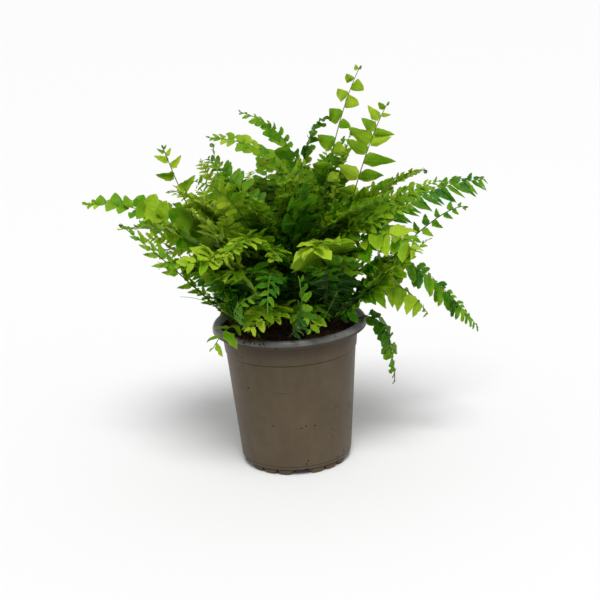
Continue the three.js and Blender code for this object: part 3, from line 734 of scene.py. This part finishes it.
def soil_material(name, dark, light):
    """Damp crumbly soil: dark to light by blotches, with redder grains, and rough all over."""
    material, tree, shader = tree_of(name)
    place = placed(tree, "TexCoord").outputs["Object"]
    blotch = mottled(place, 260.0, 1.0)
    earth = ramp(mapped(blotch, -0.5, 0.5), [(0.0, dark), (1.0, light)])
    grain = placed(tree, "TexVoronoi", Vector=place, Scale=900.0).outputs
    red = mapped(placed(tree, "SeparateColor", Color=grain["Color"]).outputs[0], 0.78, 0.8)
    bumped(shader, plus(grain["Distance"], blotch), 0.0006, 0.9)
    fill(shader, Base_Color=blended(times(red, 0.6), earth, GRAIN_RED),
         Roughness=0.93, Specular_IOR_Level=0.25)
    return material


MOTTLE = mottle_group()
VEINS = vein_group()
LEAVES = {
    "young": leaf_material("young leaf", 0.42),
    "full": leaf_material("grown leaf", 0.38),
    "deep": leaf_material("old leaf", 0.34),
}
POT_PLASTIC = pot_material()
SOIL = soil_material("potting soil", (0.014, 0.008, 0.005), (0.1, 0.05, 0.028))
FIBRE = soil_material("bark and root fibres", (0.035, 0.014, 0.006), (0.13, 0.06, 0.028))


# Pot

def wall_radius(z):
    """The outer wall: a straight taper, set in by the step under the band."""
    taper = BASE_RADIUS + (NECK_RADIUS - BASE_RADIUS) * (z - FOOT_HEIGHT) / (POT_HEIGHT - FOOT_HEIGHT)
    return taper - STEP_DEPTH * (z < STEP_HEIGHT)


def eased(corners, steps=4):
    """A profile with rounded corners: at each inner corner (r, z, size) a quadratic arc that
    leaves the sides at size from the corner."""
    corners = np.array(corners, dtype=float)
    at, size = corners[:, :2], corners[1:-1, 2:]
    before, after = unit(at[:-2] - at[1:-1]), unit(at[2:] - at[1:-1])
    s = np.linspace(0, 1, steps + 1)[:, None, None]
    arcs = at[1:-1] + (1 - s) ** 2 * before * size + s ** 2 * after * size
    return np.concatenate([at[:1], arcs.transpose(1, 0, 2).reshape(-1, 2), at[-1:]])


def turned(profile, turns):
    """The profile of (radius, z) carried round the axis, its two ends closed on the axis."""
    rings = around(profile[1:-1, :1], full_turn(turns), profile[1:-1, 1:])
    return closed_rings(rings, (0, 0, profile[0, 1]), (0, 0, profile[-1, 1]))


def pot_feet():
    """Stubby feet: each a superellipsoid, nearly a block, in radius, turn and height, its turn
    narrowing towards the ground with the square of the height, so that each three run together."""
    u, v = np.meshgrid(np.linspace(-1, 1, FOOT_ROWS) * np.pi / 2, full_turn(FOOT_SIDES), indexing="ij")

    def boxed(x):
        return np.sign(x) * np.abs(x) ** FOOT_BLOCK

    deep, wide = boxed(np.cos(u)) * boxed(np.cos(v)), boxed(np.cos(u)) * boxed(np.sin(v))
    middle = wall_radius(0) - WALL - FOOT_INSET - FOOT_DEPTH / 2
    top = FOOT_HEIGHT - WALL / 2
    z = top / 2 * (1 + boxed(np.sin(u)))
    spread = FOOT_TIP_SPREAD + (FOOT_TOP_SPREAD - FOOT_TIP_SPREAD) * (1 - (1 - z / top) ** 2)
    feet = []
    for number in range(FOOT_GROUPS * FEET_IN_GROUP):
        group, k = divmod(number, FEET_IN_GROUP)
        turn = FIRST_GROUP + 360 / FOOT_GROUPS * group + (k - (FEET_IN_GROUP - 1) / 2) * FOOT_PITCH
        rings = around(middle + deep * FOOT_DEPTH / 2, np.radians(turn + wide * spread / 2), z)[1:-1]
        low = around(middle, np.radians(turn))
        feet.append(closed_rings(rings, low, low + [0, 0, top]))
    return feet


def drain_drills():
    """Upright rods where the drain holes are, one between each two groups of feet."""
    drills = []
    for group in range(FOOT_GROUPS):
        a = np.radians(FIRST_GROUP + 360 / FOOT_GROUPS * (group + 0.5))
        path = around(DRAIN_AT, a, np.array([1.0, 9.0]))
        drills.append(tube(path, np.eye(3)[:1], np.eye(3)[1:2], np.full(2, DRAIN_RADIUS), DRAIN_SIDES))
    return drills


def pot():
    """The pot: its wall, rim and floor as one turned profile, bored for the drain holes, with feet."""
    step = STEP_HEIGHT
    under = POT_HEIGHT - RIM_DROP + 1.5
    profile = eased([
        (0, FOOT_HEIGHT - WALL, 0),
        (wall_radius(0) - WALL, FOOT_HEIGHT - WALL, 0.5),
        (wall_radius(FOOT_HEIGHT), FOOT_HEIGHT + 0.4, 0.5),
        (wall_radius(step - 0.5), step - 0.5, 0.12),
        (wall_radius(step - 0.4) + 0.05, step - 0.15, 0.1),
        (wall_radius(step), step + 0.1, 0.12),
        (NECK_RADIUS, under, 0.5),
        (RIM_RADIUS - 1.15, under, 0.4),
        (RIM_RADIUS - 1.05, POT_HEIGHT - RIM_DROP, 0.3),
        (RIM_RADIUS - 0.1, POT_HEIGHT - RIM_DROP, 0.4),
        (RIM_RADIUS, POT_HEIGHT - 2.4, 1.2),
        (RIM_RADIUS - RIM_ROUND, POT_HEIGHT, 1.3),
        (NECK_RADIUS + 1.4, POT_HEIGHT - 0.2, 1.2),
        (NECK_RADIUS - WALL, POT_HEIGHT - 3.2, 1.5),
        (wall_radius(step) - WALL, step, 0.3),
        (wall_radius(step - 0.5) - WALL, step - 1, 0.3),
        (wall_radius(FOOT_HEIGHT) - WALL, FOOT_HEIGHT, 0.3),
        (0, FOOT_HEIGHT, 0),
    ])
    shell = put_mesh("pot_dressed", [turned(profile, POT_TURNS)], POT_PLASTIC)
    drill = put_mesh("pot_drill", drain_drills(), POT_PLASTIC)
    cut = shell.modifiers.new("drain holes", "BOOLEAN")
    cut.operation, cut.solver, cut.object = "DIFFERENCE", "EXACT", drill
    bored = bpy.data.meshes.new_from_object(shell.evaluated_get(bpy.context.evaluated_depsgraph_get()))
    shell.modifiers.clear()
    bpy.data.objects.remove(drill)
    shell.data = bored
    for piece in (shell, put_mesh("pot_feet", pot_feet(), POT_PLASTIC)):
        piece.data.polygons.foreach_set("use_smooth", np.ones(len(piece.data.polygons), dtype=bool))
        piece.data.set_sharp_from_angle(angle=np.radians(SHARP_ANGLE))
        dressed(piece, "pot_plastic", "pot")


# Soil

def soil_height(x, y):
    """Lumpy ground heaped loosely over the root ball: three value noises of falling size, a little
    higher round the crown."""
    rolling = sum(height * smooth_noise(x, y, cell, seed) for height, cell, seed in SOIL_LUMPS)
    return SOIL_TOP + SOIL_HEAP + rolling + 0.9 * np.exp(-(x * x + y * y) / 900)


def on_ground(spots, above=0.0):
    """Spots set above the ground at their x and y."""
    x, y = spots[..., 0], spots[..., 1]
    return np.stack([x, y, soil_height(x, y) + above], axis=-1)


def strewn(rng, reach, count):
    """Spots spread evenly over a disc: radii by the square root of a draw, and even turns."""
    return around(reach * np.sqrt(rng.random(count)), 2 * np.pi * rng.random(count))


def soil_body():
    """The ground: rings from the middle out at soil_height, then down inside the wall to the floor."""
    turn = full_turn(SOIL_TURNS)
    floor = FOOT_HEIGHT + SOIL_GAP
    top = on_ground(around(np.linspace(0.7, 45.0, SOIL_RINGS)[:, None], turn))
    z = np.array([88.0, 79.0, 40.0, floor])[:, None]
    down = around(wall_radius(z) - WALL - SOIL_GAP - 0.05, turn, z)
    part = closed_rings(np.concatenate([top, down])[::-1], (0, 0, floor), on_ground(np.zeros(2)))
    dressed(put_mesh("soil_dressed", [part], SOIL), "soil", "soil")


def lump_parts(centres, sizes, rng):
    """Crumbs: an icosahedron at each centre, its corners pushed in and out by chance."""
    golden, zero = (1 + 5 ** 0.5) / 2, np.zeros(4)
    a, b = np.array([-1.0, 1, -1, 1]), np.array([golden, golden, -golden, -golden])
    corners = np.concatenate([np.stack(v, 1) for v in ([a, b, zero], [zero, a, b], [b, zero, a])])
    corners /= np.linalg.norm(corners[0])
    gaps = np.linalg.norm(corners[:, None] - corners[None], axis=-1)
    near = (gaps > 0.1) & (gaps < 1.2)
    i, j, k = np.nonzero(near[:, :, None] & near[:, None, :] & near[None, :, :])
    faces = np.stack([i, j, k], axis=-1)[(i < j) & (i < k)]
    first, second, third = (corners[faces[:, n]] for n in range(3))
    turn = np.cross(second - first, third - first)
    faces = faces[(turn * corners[faces].mean(1)).sum(1) > 0]
    shape = rng.uniform(0.65, 1.25, (len(centres), 12, 1)) * rng.uniform(0.6, 1.2, (len(centres), 1, 3))
    points = centres[:, None] + corners * shape * sizes[:, None, None]
    offsets = len(corners) * np.arange(len(centres))[:, None, None]
    return dict(points=points.reshape(-1, 3), faces=[(faces + offsets).reshape(-1, 3)])


def soil_crumbs():
    """Crumbs strewn evenly over the ground, and some spilt on the rim at the front left."""
    rng = np.random.default_rng(11)
    spots = strewn(rng, 44.6, CRUMBS)
    size = 0.35 + 1.3 * rng.random(CRUMBS) ** 3
    turn = np.radians(rng.normal(235, 9, SPILT))
    radius = rng.uniform(45.8, RIM_RADIUS, SPILT)
    past = np.maximum(0, radius - (RIM_RADIUS - RIM_ROUND))
    on_rim = around(radius, turn, POT_HEIGHT + 0.1 - 1.2 * past ** 2)
    sizes = np.concatenate([size, rng.uniform(0.2, 0.8, SPILT)])
    part = lump_parts(np.concatenate([on_ground(spots, 0.25 * size), on_rim]), sizes, rng)
    dressed(put_mesh("soil_crumbs", [part], SOIL, smooth=False), "soil")


def strand_parts(start, middle, end, radius, steps=6, sides=4):
    """Thin strands: quadratic curves from start past middle to end, each a tapered closed tube."""
    s = np.linspace(0, 1, steps)[:, None]
    parts = []
    for a, b, c, r in zip(start, middle, end, radius):
        path = bent(s, a, b, c)
        along = unit(np.gradient(path, axis=0))
        side = unit(np.cross(along, [0.3, 0.2, 1.0]))
        parts.append(tube(path, side, np.cross(side, along), r * (1 - 0.6 * s[:, 0]), sides))
    return parts


def soil_fibres():
    """Short bits of root and bark lying every way on the ground, their middles a little raised."""
    rng = np.random.default_rng(12)
    centre = strewn(rng, 41, FIBRES)[:, :2]
    heading, half = 2 * np.pi * rng.random(FIBRES), rng.uniform(1.2, 5, FIBRES)
    reach = around(half, heading)[:, :2]
    ends = []
    for at in (centre - reach, centre + rng.normal(0, 1, (FIBRES, 2)), centre + reach):
        at = at / np.maximum(1, np.linalg.norm(at, axis=1, keepdims=True) / 43)
        ends.append(on_ground(at, rng.uniform(0.1, 0.9, FIBRES)))
    parts = strand_parts(*ends, rng.uniform(0.1, 0.26, FIBRES))
    dressed(put_mesh("soil_fibres", parts, FIBRE), "soil")


# Fronds

def rib_frame(frond, t):
    """The rib at shares t of its length past the collar: a quadratic curve through mid half way.
    Returns place, along, side and face. The blade's roll comes in over the bare stretch."""
    t = np.atleast_1d(np.asarray(t, dtype=float))[:, None]
    root, mid, tip = frond["root"], frond["mid"], frond["tip"]
    knee = 2 * mid - 0.5 * root - 0.5 * tip
    s, stem, upright = np.clip(t, 0, 1), t < 0, np.array([0, 0, 1.0])
    at = bent(s, root, knee, tip) + np.where(stem, t * (STEM_DEPTH + COLLAR), 0) * upright
    along = np.where(stem, upright, unit((1 - s) * (knee - root) + s * (tip - knee)))
    ahead = unit(np.array([*(tip - root)[:2], 0]))
    side = np.array([ahead[1], -ahead[0], 0])
    side = unit(side - (along @ side)[:, None] * along)
    face = np.cross(side, along)
    turn = np.radians(frond["roll"]) * np.clip(t / frond["bare"], 0, 1)
    side = side * np.cos(turn) + face * np.sin(turn)
    return at, along, side, np.cross(side, along)


def leaflet_share(u, fade):
    """A leaflet's length as a share of the longest: min(1, 0.6 + 1.2 u) times the root of
    1 - u^fade, so that it rises from the stem and falls to the tip, the later the higher fade is."""
    return np.minimum(1, 0.6 + 1.2 * u) * np.sqrt(np.maximum(0.06, 1 - u ** fade))


def leaf_template(n, m):
    """The grid of one leaflet, n by m cells, as a closed lens: a top and an underside that share
    their edge. Returns s along, w across, side (1 top, -1 underside, 0 edge) and the faces."""
    s, w = np.meshgrid(np.linspace(0, 1, n + 1), np.linspace(-1, 1, m + 1), indexing="ij")
    inner = np.zeros(s.shape, dtype=bool)
    inner[1:-1, 1:-1] = True
    top = np.arange(s.size).reshape(s.shape)
    under = top.copy()
    under[inner] = s.size + np.arange(inner.sum())
    upper, lower = (
        np.stack([g[:-1, :-1], g[1:, :-1], g[1:, 1:], g[:-1, 1:]], axis=-1).reshape(-1, 4)
        for g in (top, under))
    side = np.concatenate([np.where(inner, 1, 0).ravel(), np.full(inner.sum(), -1)])
    s, w = (np.concatenate([v.ravel(), v[inner]]) for v in (s, w))
    return s, w, side, [upper, lower[:, ::-1]]


TEMPLATES = {kind: leaf_template(*cells) for kind, cells in LEAF_CELLS.items()}


def tongue(s, ahead, stalk=0.4, full=0.14, power=3.2, ease=0.6, ear=0.3, teeth=0.05):
    """Half width, full at s = full, (1 - s^power)^ease at the tip, with an ear at the base on the
    side towards the frond's tip, and round teeth of height teeth."""
    width = np.minimum(1, stalk + (1 - stalk) * s / full) * np.maximum(POINT, 1 - s ** power) ** ease
    width = width + ear * np.exp(-(((s - 0.12) / 0.1) ** 2)) * (ahead > 0)
    return width * (1 + teeth * np.cos(2 * np.pi * TEETH * s))


def quarter(s, ahead):
    """Half width of a quarter disc: 1.6 (1 - s^1.6)^0.6 towards the frond's tip, narrow behind."""
    end = np.maximum(POINT, 1 - s ** 1.6) ** 0.6
    round_side = 1.6 * np.minimum(1, 0.4 + s / 0.35) * end
    straight_side = 0.34 * np.minimum(1, 0.5 + s / 0.3) * end
    return np.where(ahead > 0, round_side, straight_side)


def outline(leaf, s, ahead):
    """The half width of the kind of leaflet that leaf names."""
    return quarter(s, ahead) if leaf == "quarter" else tongue(s, ahead, **TONGUES[leaf])


def painted_light_share(at):
    """How much lighter leaflets at points at are than their frond, as painted light and shade: the sum of a
    bell of height gain and width reach about each lit or shaded place."""
    total = np.zeros(len(at))
    for x, y, z, reach, gain in PAINTED_LIGHT_PLACES:
        total += gain * np.exp(-((at - [x, y, z]) ** 2).sum(axis=1) / reach ** 2)
    return total


def dryness(frond, t):
    """How brown a leaf is at shares t of the rib: 0, and up to 1 past where its dry tip begins."""
    return np.clip((t - (1 - DRY_TIPS.get(frond["name"], 0))) / 0.05, 0, 1)


def leaflet_axes(along, side, face, flank, lean, raised, twist):
    """A leaflet's own axes: out along its midrib, across it and up from it. It leaves the rib
    sideways, leans to the frond's tip, is raised to the face and twisted about its midrib."""
    out = side * flank * np.cos(lean) + along * np.sin(lean)
    out, up = out * np.cos(raised) + face * np.sin(raised), face * np.cos(raised)
    across = unit(np.cross(up, out))
    up = np.cross(out, across)
    return out, across * np.cos(twist) + up * np.sin(twist), up * np.cos(twist) - across * np.sin(twist)


def leaflet_shape(look, flank, length, half_width, rng):
    """Where leaflet points at (s, w) lie along, across and up from the leaflet: s x length out, w x
    outline across; cupped up with |w|, waved along the edges and drooping with the square of s."""
    s, w, leaf_side, _ = TEMPLATES[look["cells"]]

    def spread(low, high):
        return rng.uniform(low, high, length.shape)

    half = outline(look["leaf"], s, -w if look["flipped"] else w * flank) * half_width
    torn = np.sin(spread(0, 2 * np.pi) + 2 * np.pi * spread(2.2, 3.4) * s + spread(1, 3) * np.sign(w))
    half = half * (1 + look["ragged"] * torn)
    cup, droop = spread(0.05, 0.5), spread(0.02, 0.32)
    wave, phase = spread(0.04, 0.16), spread(0, 2 * np.pi)
    x = length * s * (1 - 0.35 * (droop * s) ** 2)
    y = half * w + length * 0.1 * flank * s ** 2
    z = half * cup * np.abs(w) ** 1.25 - length * droop * s ** 2
    z += half * wave * w ** 2 * np.sin(phase + 8 * s + 1.2 * np.sign(w)) * 2
    return x, y, z + leaf_side * LEAF_HALF_THICK


def leaflets(frond, look, t, flank, lift, long, rng):
    """Leaflets at shares t of the rib, each on its flank (-1 or 1), lifted by lift degrees from the
    blade and long times as long, with their colours' tone, dryness and place on the blade."""
    count = len(t)
    at, along, side, face = rib_frame(frond, t)
    t, flank, long = t[:, None], flank[:, None], long[:, None]
    u = np.clip((t - frond["bare"]) / (1 - frond["bare"]), 0, 1)

    def degrees(middle, by):
        return np.radians(middle + rng.normal(0, by, t.shape))

    length = frond["long"] * look["long"] * long * leaflet_share(u, look["fade"])
    length = length * (1 + look["uneven"] * rng.uniform(-1, 1, t.shape)) * (1 + look["lopsided"] * flank)
    half_width = look["ratio"] * length * rng.uniform(0.88, 1.12, t.shape)
    lean = degrees(LEAF_LEAN + look["lean"] + TIP_LEAN * u ** 2, 6)
    raised = degrees(frond["lift"] + look["lift"] + lift, 9)
    axes = leaflet_axes(along, side, face, flank, lean, raised, degrees(0, look["twist"]))
    points = (at + side * flank * 0.25)[:, None]
    for far, axis in zip(leaflet_shape(look, flank, length, half_width, rng), axes):
        points = points + far[..., None] * axis[:, None]

    s, w, leaf_side, leaf_faces = TEMPLATES[look["cells"]]
    tone = TONES[frond["green"]] + look["tone"] + 0.16 * (u - 0.4) + rng.normal(0, 0.13, t.shape)
    # Painted light and shade: lighter or darker by the leaflet's place in the bush
    tone = tone + painted_light_share(at)[:, None] + 0.06 * (s - 0.5)
    offsets = s.size * np.arange(count)[:, None, None]
    return dict(
        points=points.reshape(-1, 3),
        faces=[(group + offsets).reshape(-1, 4) for group in leaf_faces],
        tone=tone.ravel(), stalk=np.zeros(tone.size),
        dry=(dryness(frond, t) * np.clip(0.5 + s, 0, 1)).ravel(),
        blade=np.tile(np.stack([s, 0.5 + 0.5 * w], axis=-1), (count, 1)),
        rim=np.tile(leaf_side == 0, count),
    )


def as_rib(part, stalk, dry=0.0):
    """A tube in a rib's colours: stalk is above 0 all along it."""
    count = len(part["points"])
    return dict(
        part, tone=np.full(count, 0.6), stalk=np.broadcast_to(stalk, count),
        dry=np.broadcast_to(dry, count), blade=np.zeros((count, 2)), rim=np.zeros(count, dtype=bool),
    )


def rib(frond, brown):
    """Stem and rib: a tube along the rib's curve that tapers from the soil to the tip."""
    t = np.concatenate([[-0.75, -0.3], np.linspace(0, 1, RIB_STEPS)])
    at, _, side, face = rib_frame(frond, t)
    far = np.clip(t, 0, 1)
    radius = RIB_RADIUS[0] + (RIB_RADIUS[1] - RIB_RADIUS[0]) * far ** 0.8
    stalk = np.clip(brown + (1 - brown) * (1 - 1.8 * far), 0.02, 1)
    return as_rib(tube(at, side, face, radius), per_point(stalk), per_point(dryness(frond, far)))


def curl(frond, brown, rng):
    """A curled young tip: a spiral in the plane of along and face, its radius falling with turn."""
    at, along, side, face = (v[0] for v in rib_frame(frond, 1.0))
    size = rng.uniform(1.2, 1.6)
    turn = np.linspace(0, 2 * np.pi * 1.5, CURL_STEPS)[:, None]
    radius = size * (1 - 0.74 * turn / turn[-1])
    path = at - face * size + radius * (np.cos(turn) * face + np.sin(turn) * along)
    heading = unit(np.gradient(path, axis=0))
    thick = np.linspace(0.34, 0.66, CURL_STEPS)
    return as_rib(tube(path, side[None], np.cross(side[None], heading), thick), 0.1 + 0.5 * brown)


def offshoot(frond, number, rng):
    """A younger frond from the same foot: the frond's curve turned about its stem and drawn in."""
    turn = np.radians(rng.uniform(12, 24)) * (-1) ** number
    c, s = np.cos(turn), np.sin(turn)
    swing = np.array([[c, -s, 0], [s, c, 0], [0, 0, 1]])
    share = rng.uniform(0.68, 0.86)
    to_mid, to_tip = frond["mid"] - frond["root"], frond["tip"] - frond["root"]
    root = frond["root"] + swing @ [1.2, 0.8 * (-1) ** number, 0]
    raised = np.array([0, 0, share ** 0.5 - share])
    mid = root + share * swing @ to_mid + raised * to_mid
    tip = root + share * swing @ (to_tip + [0, 0, rng.uniform(-6, 8)]) + raised * to_tip
    return dict(frond, root=root, mid=mid, tip=tip, roll=rng.uniform(-30, 30), long=0.9 * frond["long"])


def frond_parts(frond, look, rng):
    """The rib and the leaflets by turns on both flanks of it, at even gaps along the blade."""
    t = np.linspace(frond["bare"], 1, 60)
    at = rib_frame(frond, t)[0]
    reach = np.concatenate([[0], np.cumsum(np.linalg.norm(np.diff(at, axis=0), axis=1))])
    count = max(3, int(round(reach[-1] / look["step"])))
    steps = np.arange(count) + 0.3
    x = np.concatenate([steps, steps + 0.5]) / count
    x = x * (1.12 - 0.12 * x)
    flank, size, stray = np.repeat([-1.0, 1.0], count), np.ones(2 * count), 0.1 / count
    places = PLACES.get(frond["name"])
    if places:
        x, size = np.array(places[0] + places[1]).T
        flank = np.repeat([-1.0, 1.0], [len(side) for side in places])
        size, stray = size / frond["long"], 0
    parts = [rib(frond, max(look["rib"], RIB_BROWNS[frond["green"]]))]
    for lift, long, kept in [(0, 1, 1)] + look["layers"]:
        here = rng.random(len(x)) < kept
        place = np.clip(x + stray * rng.normal(0, 1, len(x)), 0, 0.997)
        share = np.interp(place * reach[-1], reach, t)
        parts.append(leaflets(frond, look, share[here], flank[here], lift, long * size[here], rng))
    if look["curl"]:
        parts.append(curl(frond, look["rib"], rng))
    return parts


def frond_piece(plan, index):
    """One frond, with its offshoots, in place of its solid."""
    frond = grown_frond(plan, index)
    rng = np.random.default_rng(frond["seed"])
    ringed = index >= len(OUTLINE_FRONDS)
    look = {**PLAIN_LOOK, **(FULL_LOOK if ringed else {}), **LOOKS.get(frond["name"], {})}
    mid_move, tip_move = BENDS.get(frond["name"], (0, 0))
    frond.update(mid=frond["mid"] + mid_move, tip=frond["tip"] + tip_move)
    parts = frond_parts(frond, look, rng)
    for number in range(look["offshoots"]):
        parts += frond_parts(offshoot(frond, number, rng), look, rng)
    piece = put_mesh("fern_" + frond["name"], parts, LEAVES[frond["green"]])
    dressed(piece, "leaf_" + frond["green"], "frond_" + frond["name"])


def runners():
    """Thin pale runners that a young plant sends out between its fronds."""
    strands = strand_parts(*np.array(RUNNERS, dtype=float).transpose(1, 0, 2), [0.34, 0.3, 0.32], 16, 5)
    parts = [as_rib(strand, 0.02) for strand in strands]
    dressed(put_mesh("fern_runners", parts, LEAVES["young"]), "leaf_young")


# Setting

def lit(name, kind, place, aim=(0, 0, 0), **values):
    """A light of this kind at place, turned to aim."""
    light = bpy.data.lights.new(name, kind)
    for key, value in values.items():
        setattr(light, key, value)
    lamp = bpy.data.objects.new(name, light)
    lamp.location = place
    lamp.rotation_euler = (Vector(aim) - Vector(place)).to_track_quat("-Z", "Y").to_euler()
    bpy.context.scene.collection.objects.link(lamp)


def camera():
    """The view of the photograph: from the front, a little above and rolled."""
    down, roll = np.radians(CAMERA_DOWN), np.radians(CAMERA_ROLL)
    ahead = np.array([0, np.cos(down), -np.sin(down)])
    level = np.array([1.0, 0, 0])
    upright = np.cross(level, ahead)
    right = np.cos(roll) * level + np.sin(roll) * upright
    up = -np.sin(roll) * level + np.cos(roll) * upright
    data = bpy.data.cameras.new("view")
    data.sensor_width = SENSOR_WIDTH
    data.lens = SENSOR_WIDTH * CAMERA_AWAY / VIEW_WIDTH
    eye = bpy.data.objects.new("view", data)
    turn = np.eye(4)
    turn[:3] = np.stack([right, up, -ahead, CAMERA_AIM - ahead * CAMERA_AWAY], axis=1)
    eye.matrix_world = Matrix(turn.tolist())
    bpy.context.scene.collection.objects.link(eye)
    bpy.context.scene.camera = eye


def studio():
    """A wide pale floor, an even pale sky, a broad sun and one soft window."""
    corners = FLOOR_HALF * np.array([[-1.0, -1, 0], [1, -1, 0], [1, 1, 0], [-1, 1, 0]])
    material, _, shader = tree_of("studio floor")
    fill(shader, Base_Color=(0.86, 0.86, 0.86, 1), Roughness=0.9)
    part = dict(points=corners, faces=[np.array([[0, 1, 2, 3]])])
    put_mesh("studio_floor", [part], material, smooth=False)
    world = bpy.data.worlds.new("studio sky")
    world.use_nodes = True
    fill(world.node_tree.nodes["Background"], Color=(0.985, 0.988, 0.99, 1), Strength=0.46)
    bpy.context.scene.world = world
    lit("sky light", "SUN", (0.05, -0.6, 1.0), energy=2.6, angle=np.radians(26))
    lit("right window", "AREA", (0.9, -0.75, 0.5), (0, 0, 0.1), size=0.5, energy=0.5)
    bpy.context.scene.view_settings.view_transform = "Standard"


camera()
pot()
soil_body()
soil_crumbs()
soil_fibres()
for number, plan in enumerate(planned_fronds()):
    frond_piece(plan, number)
runners()
studio()
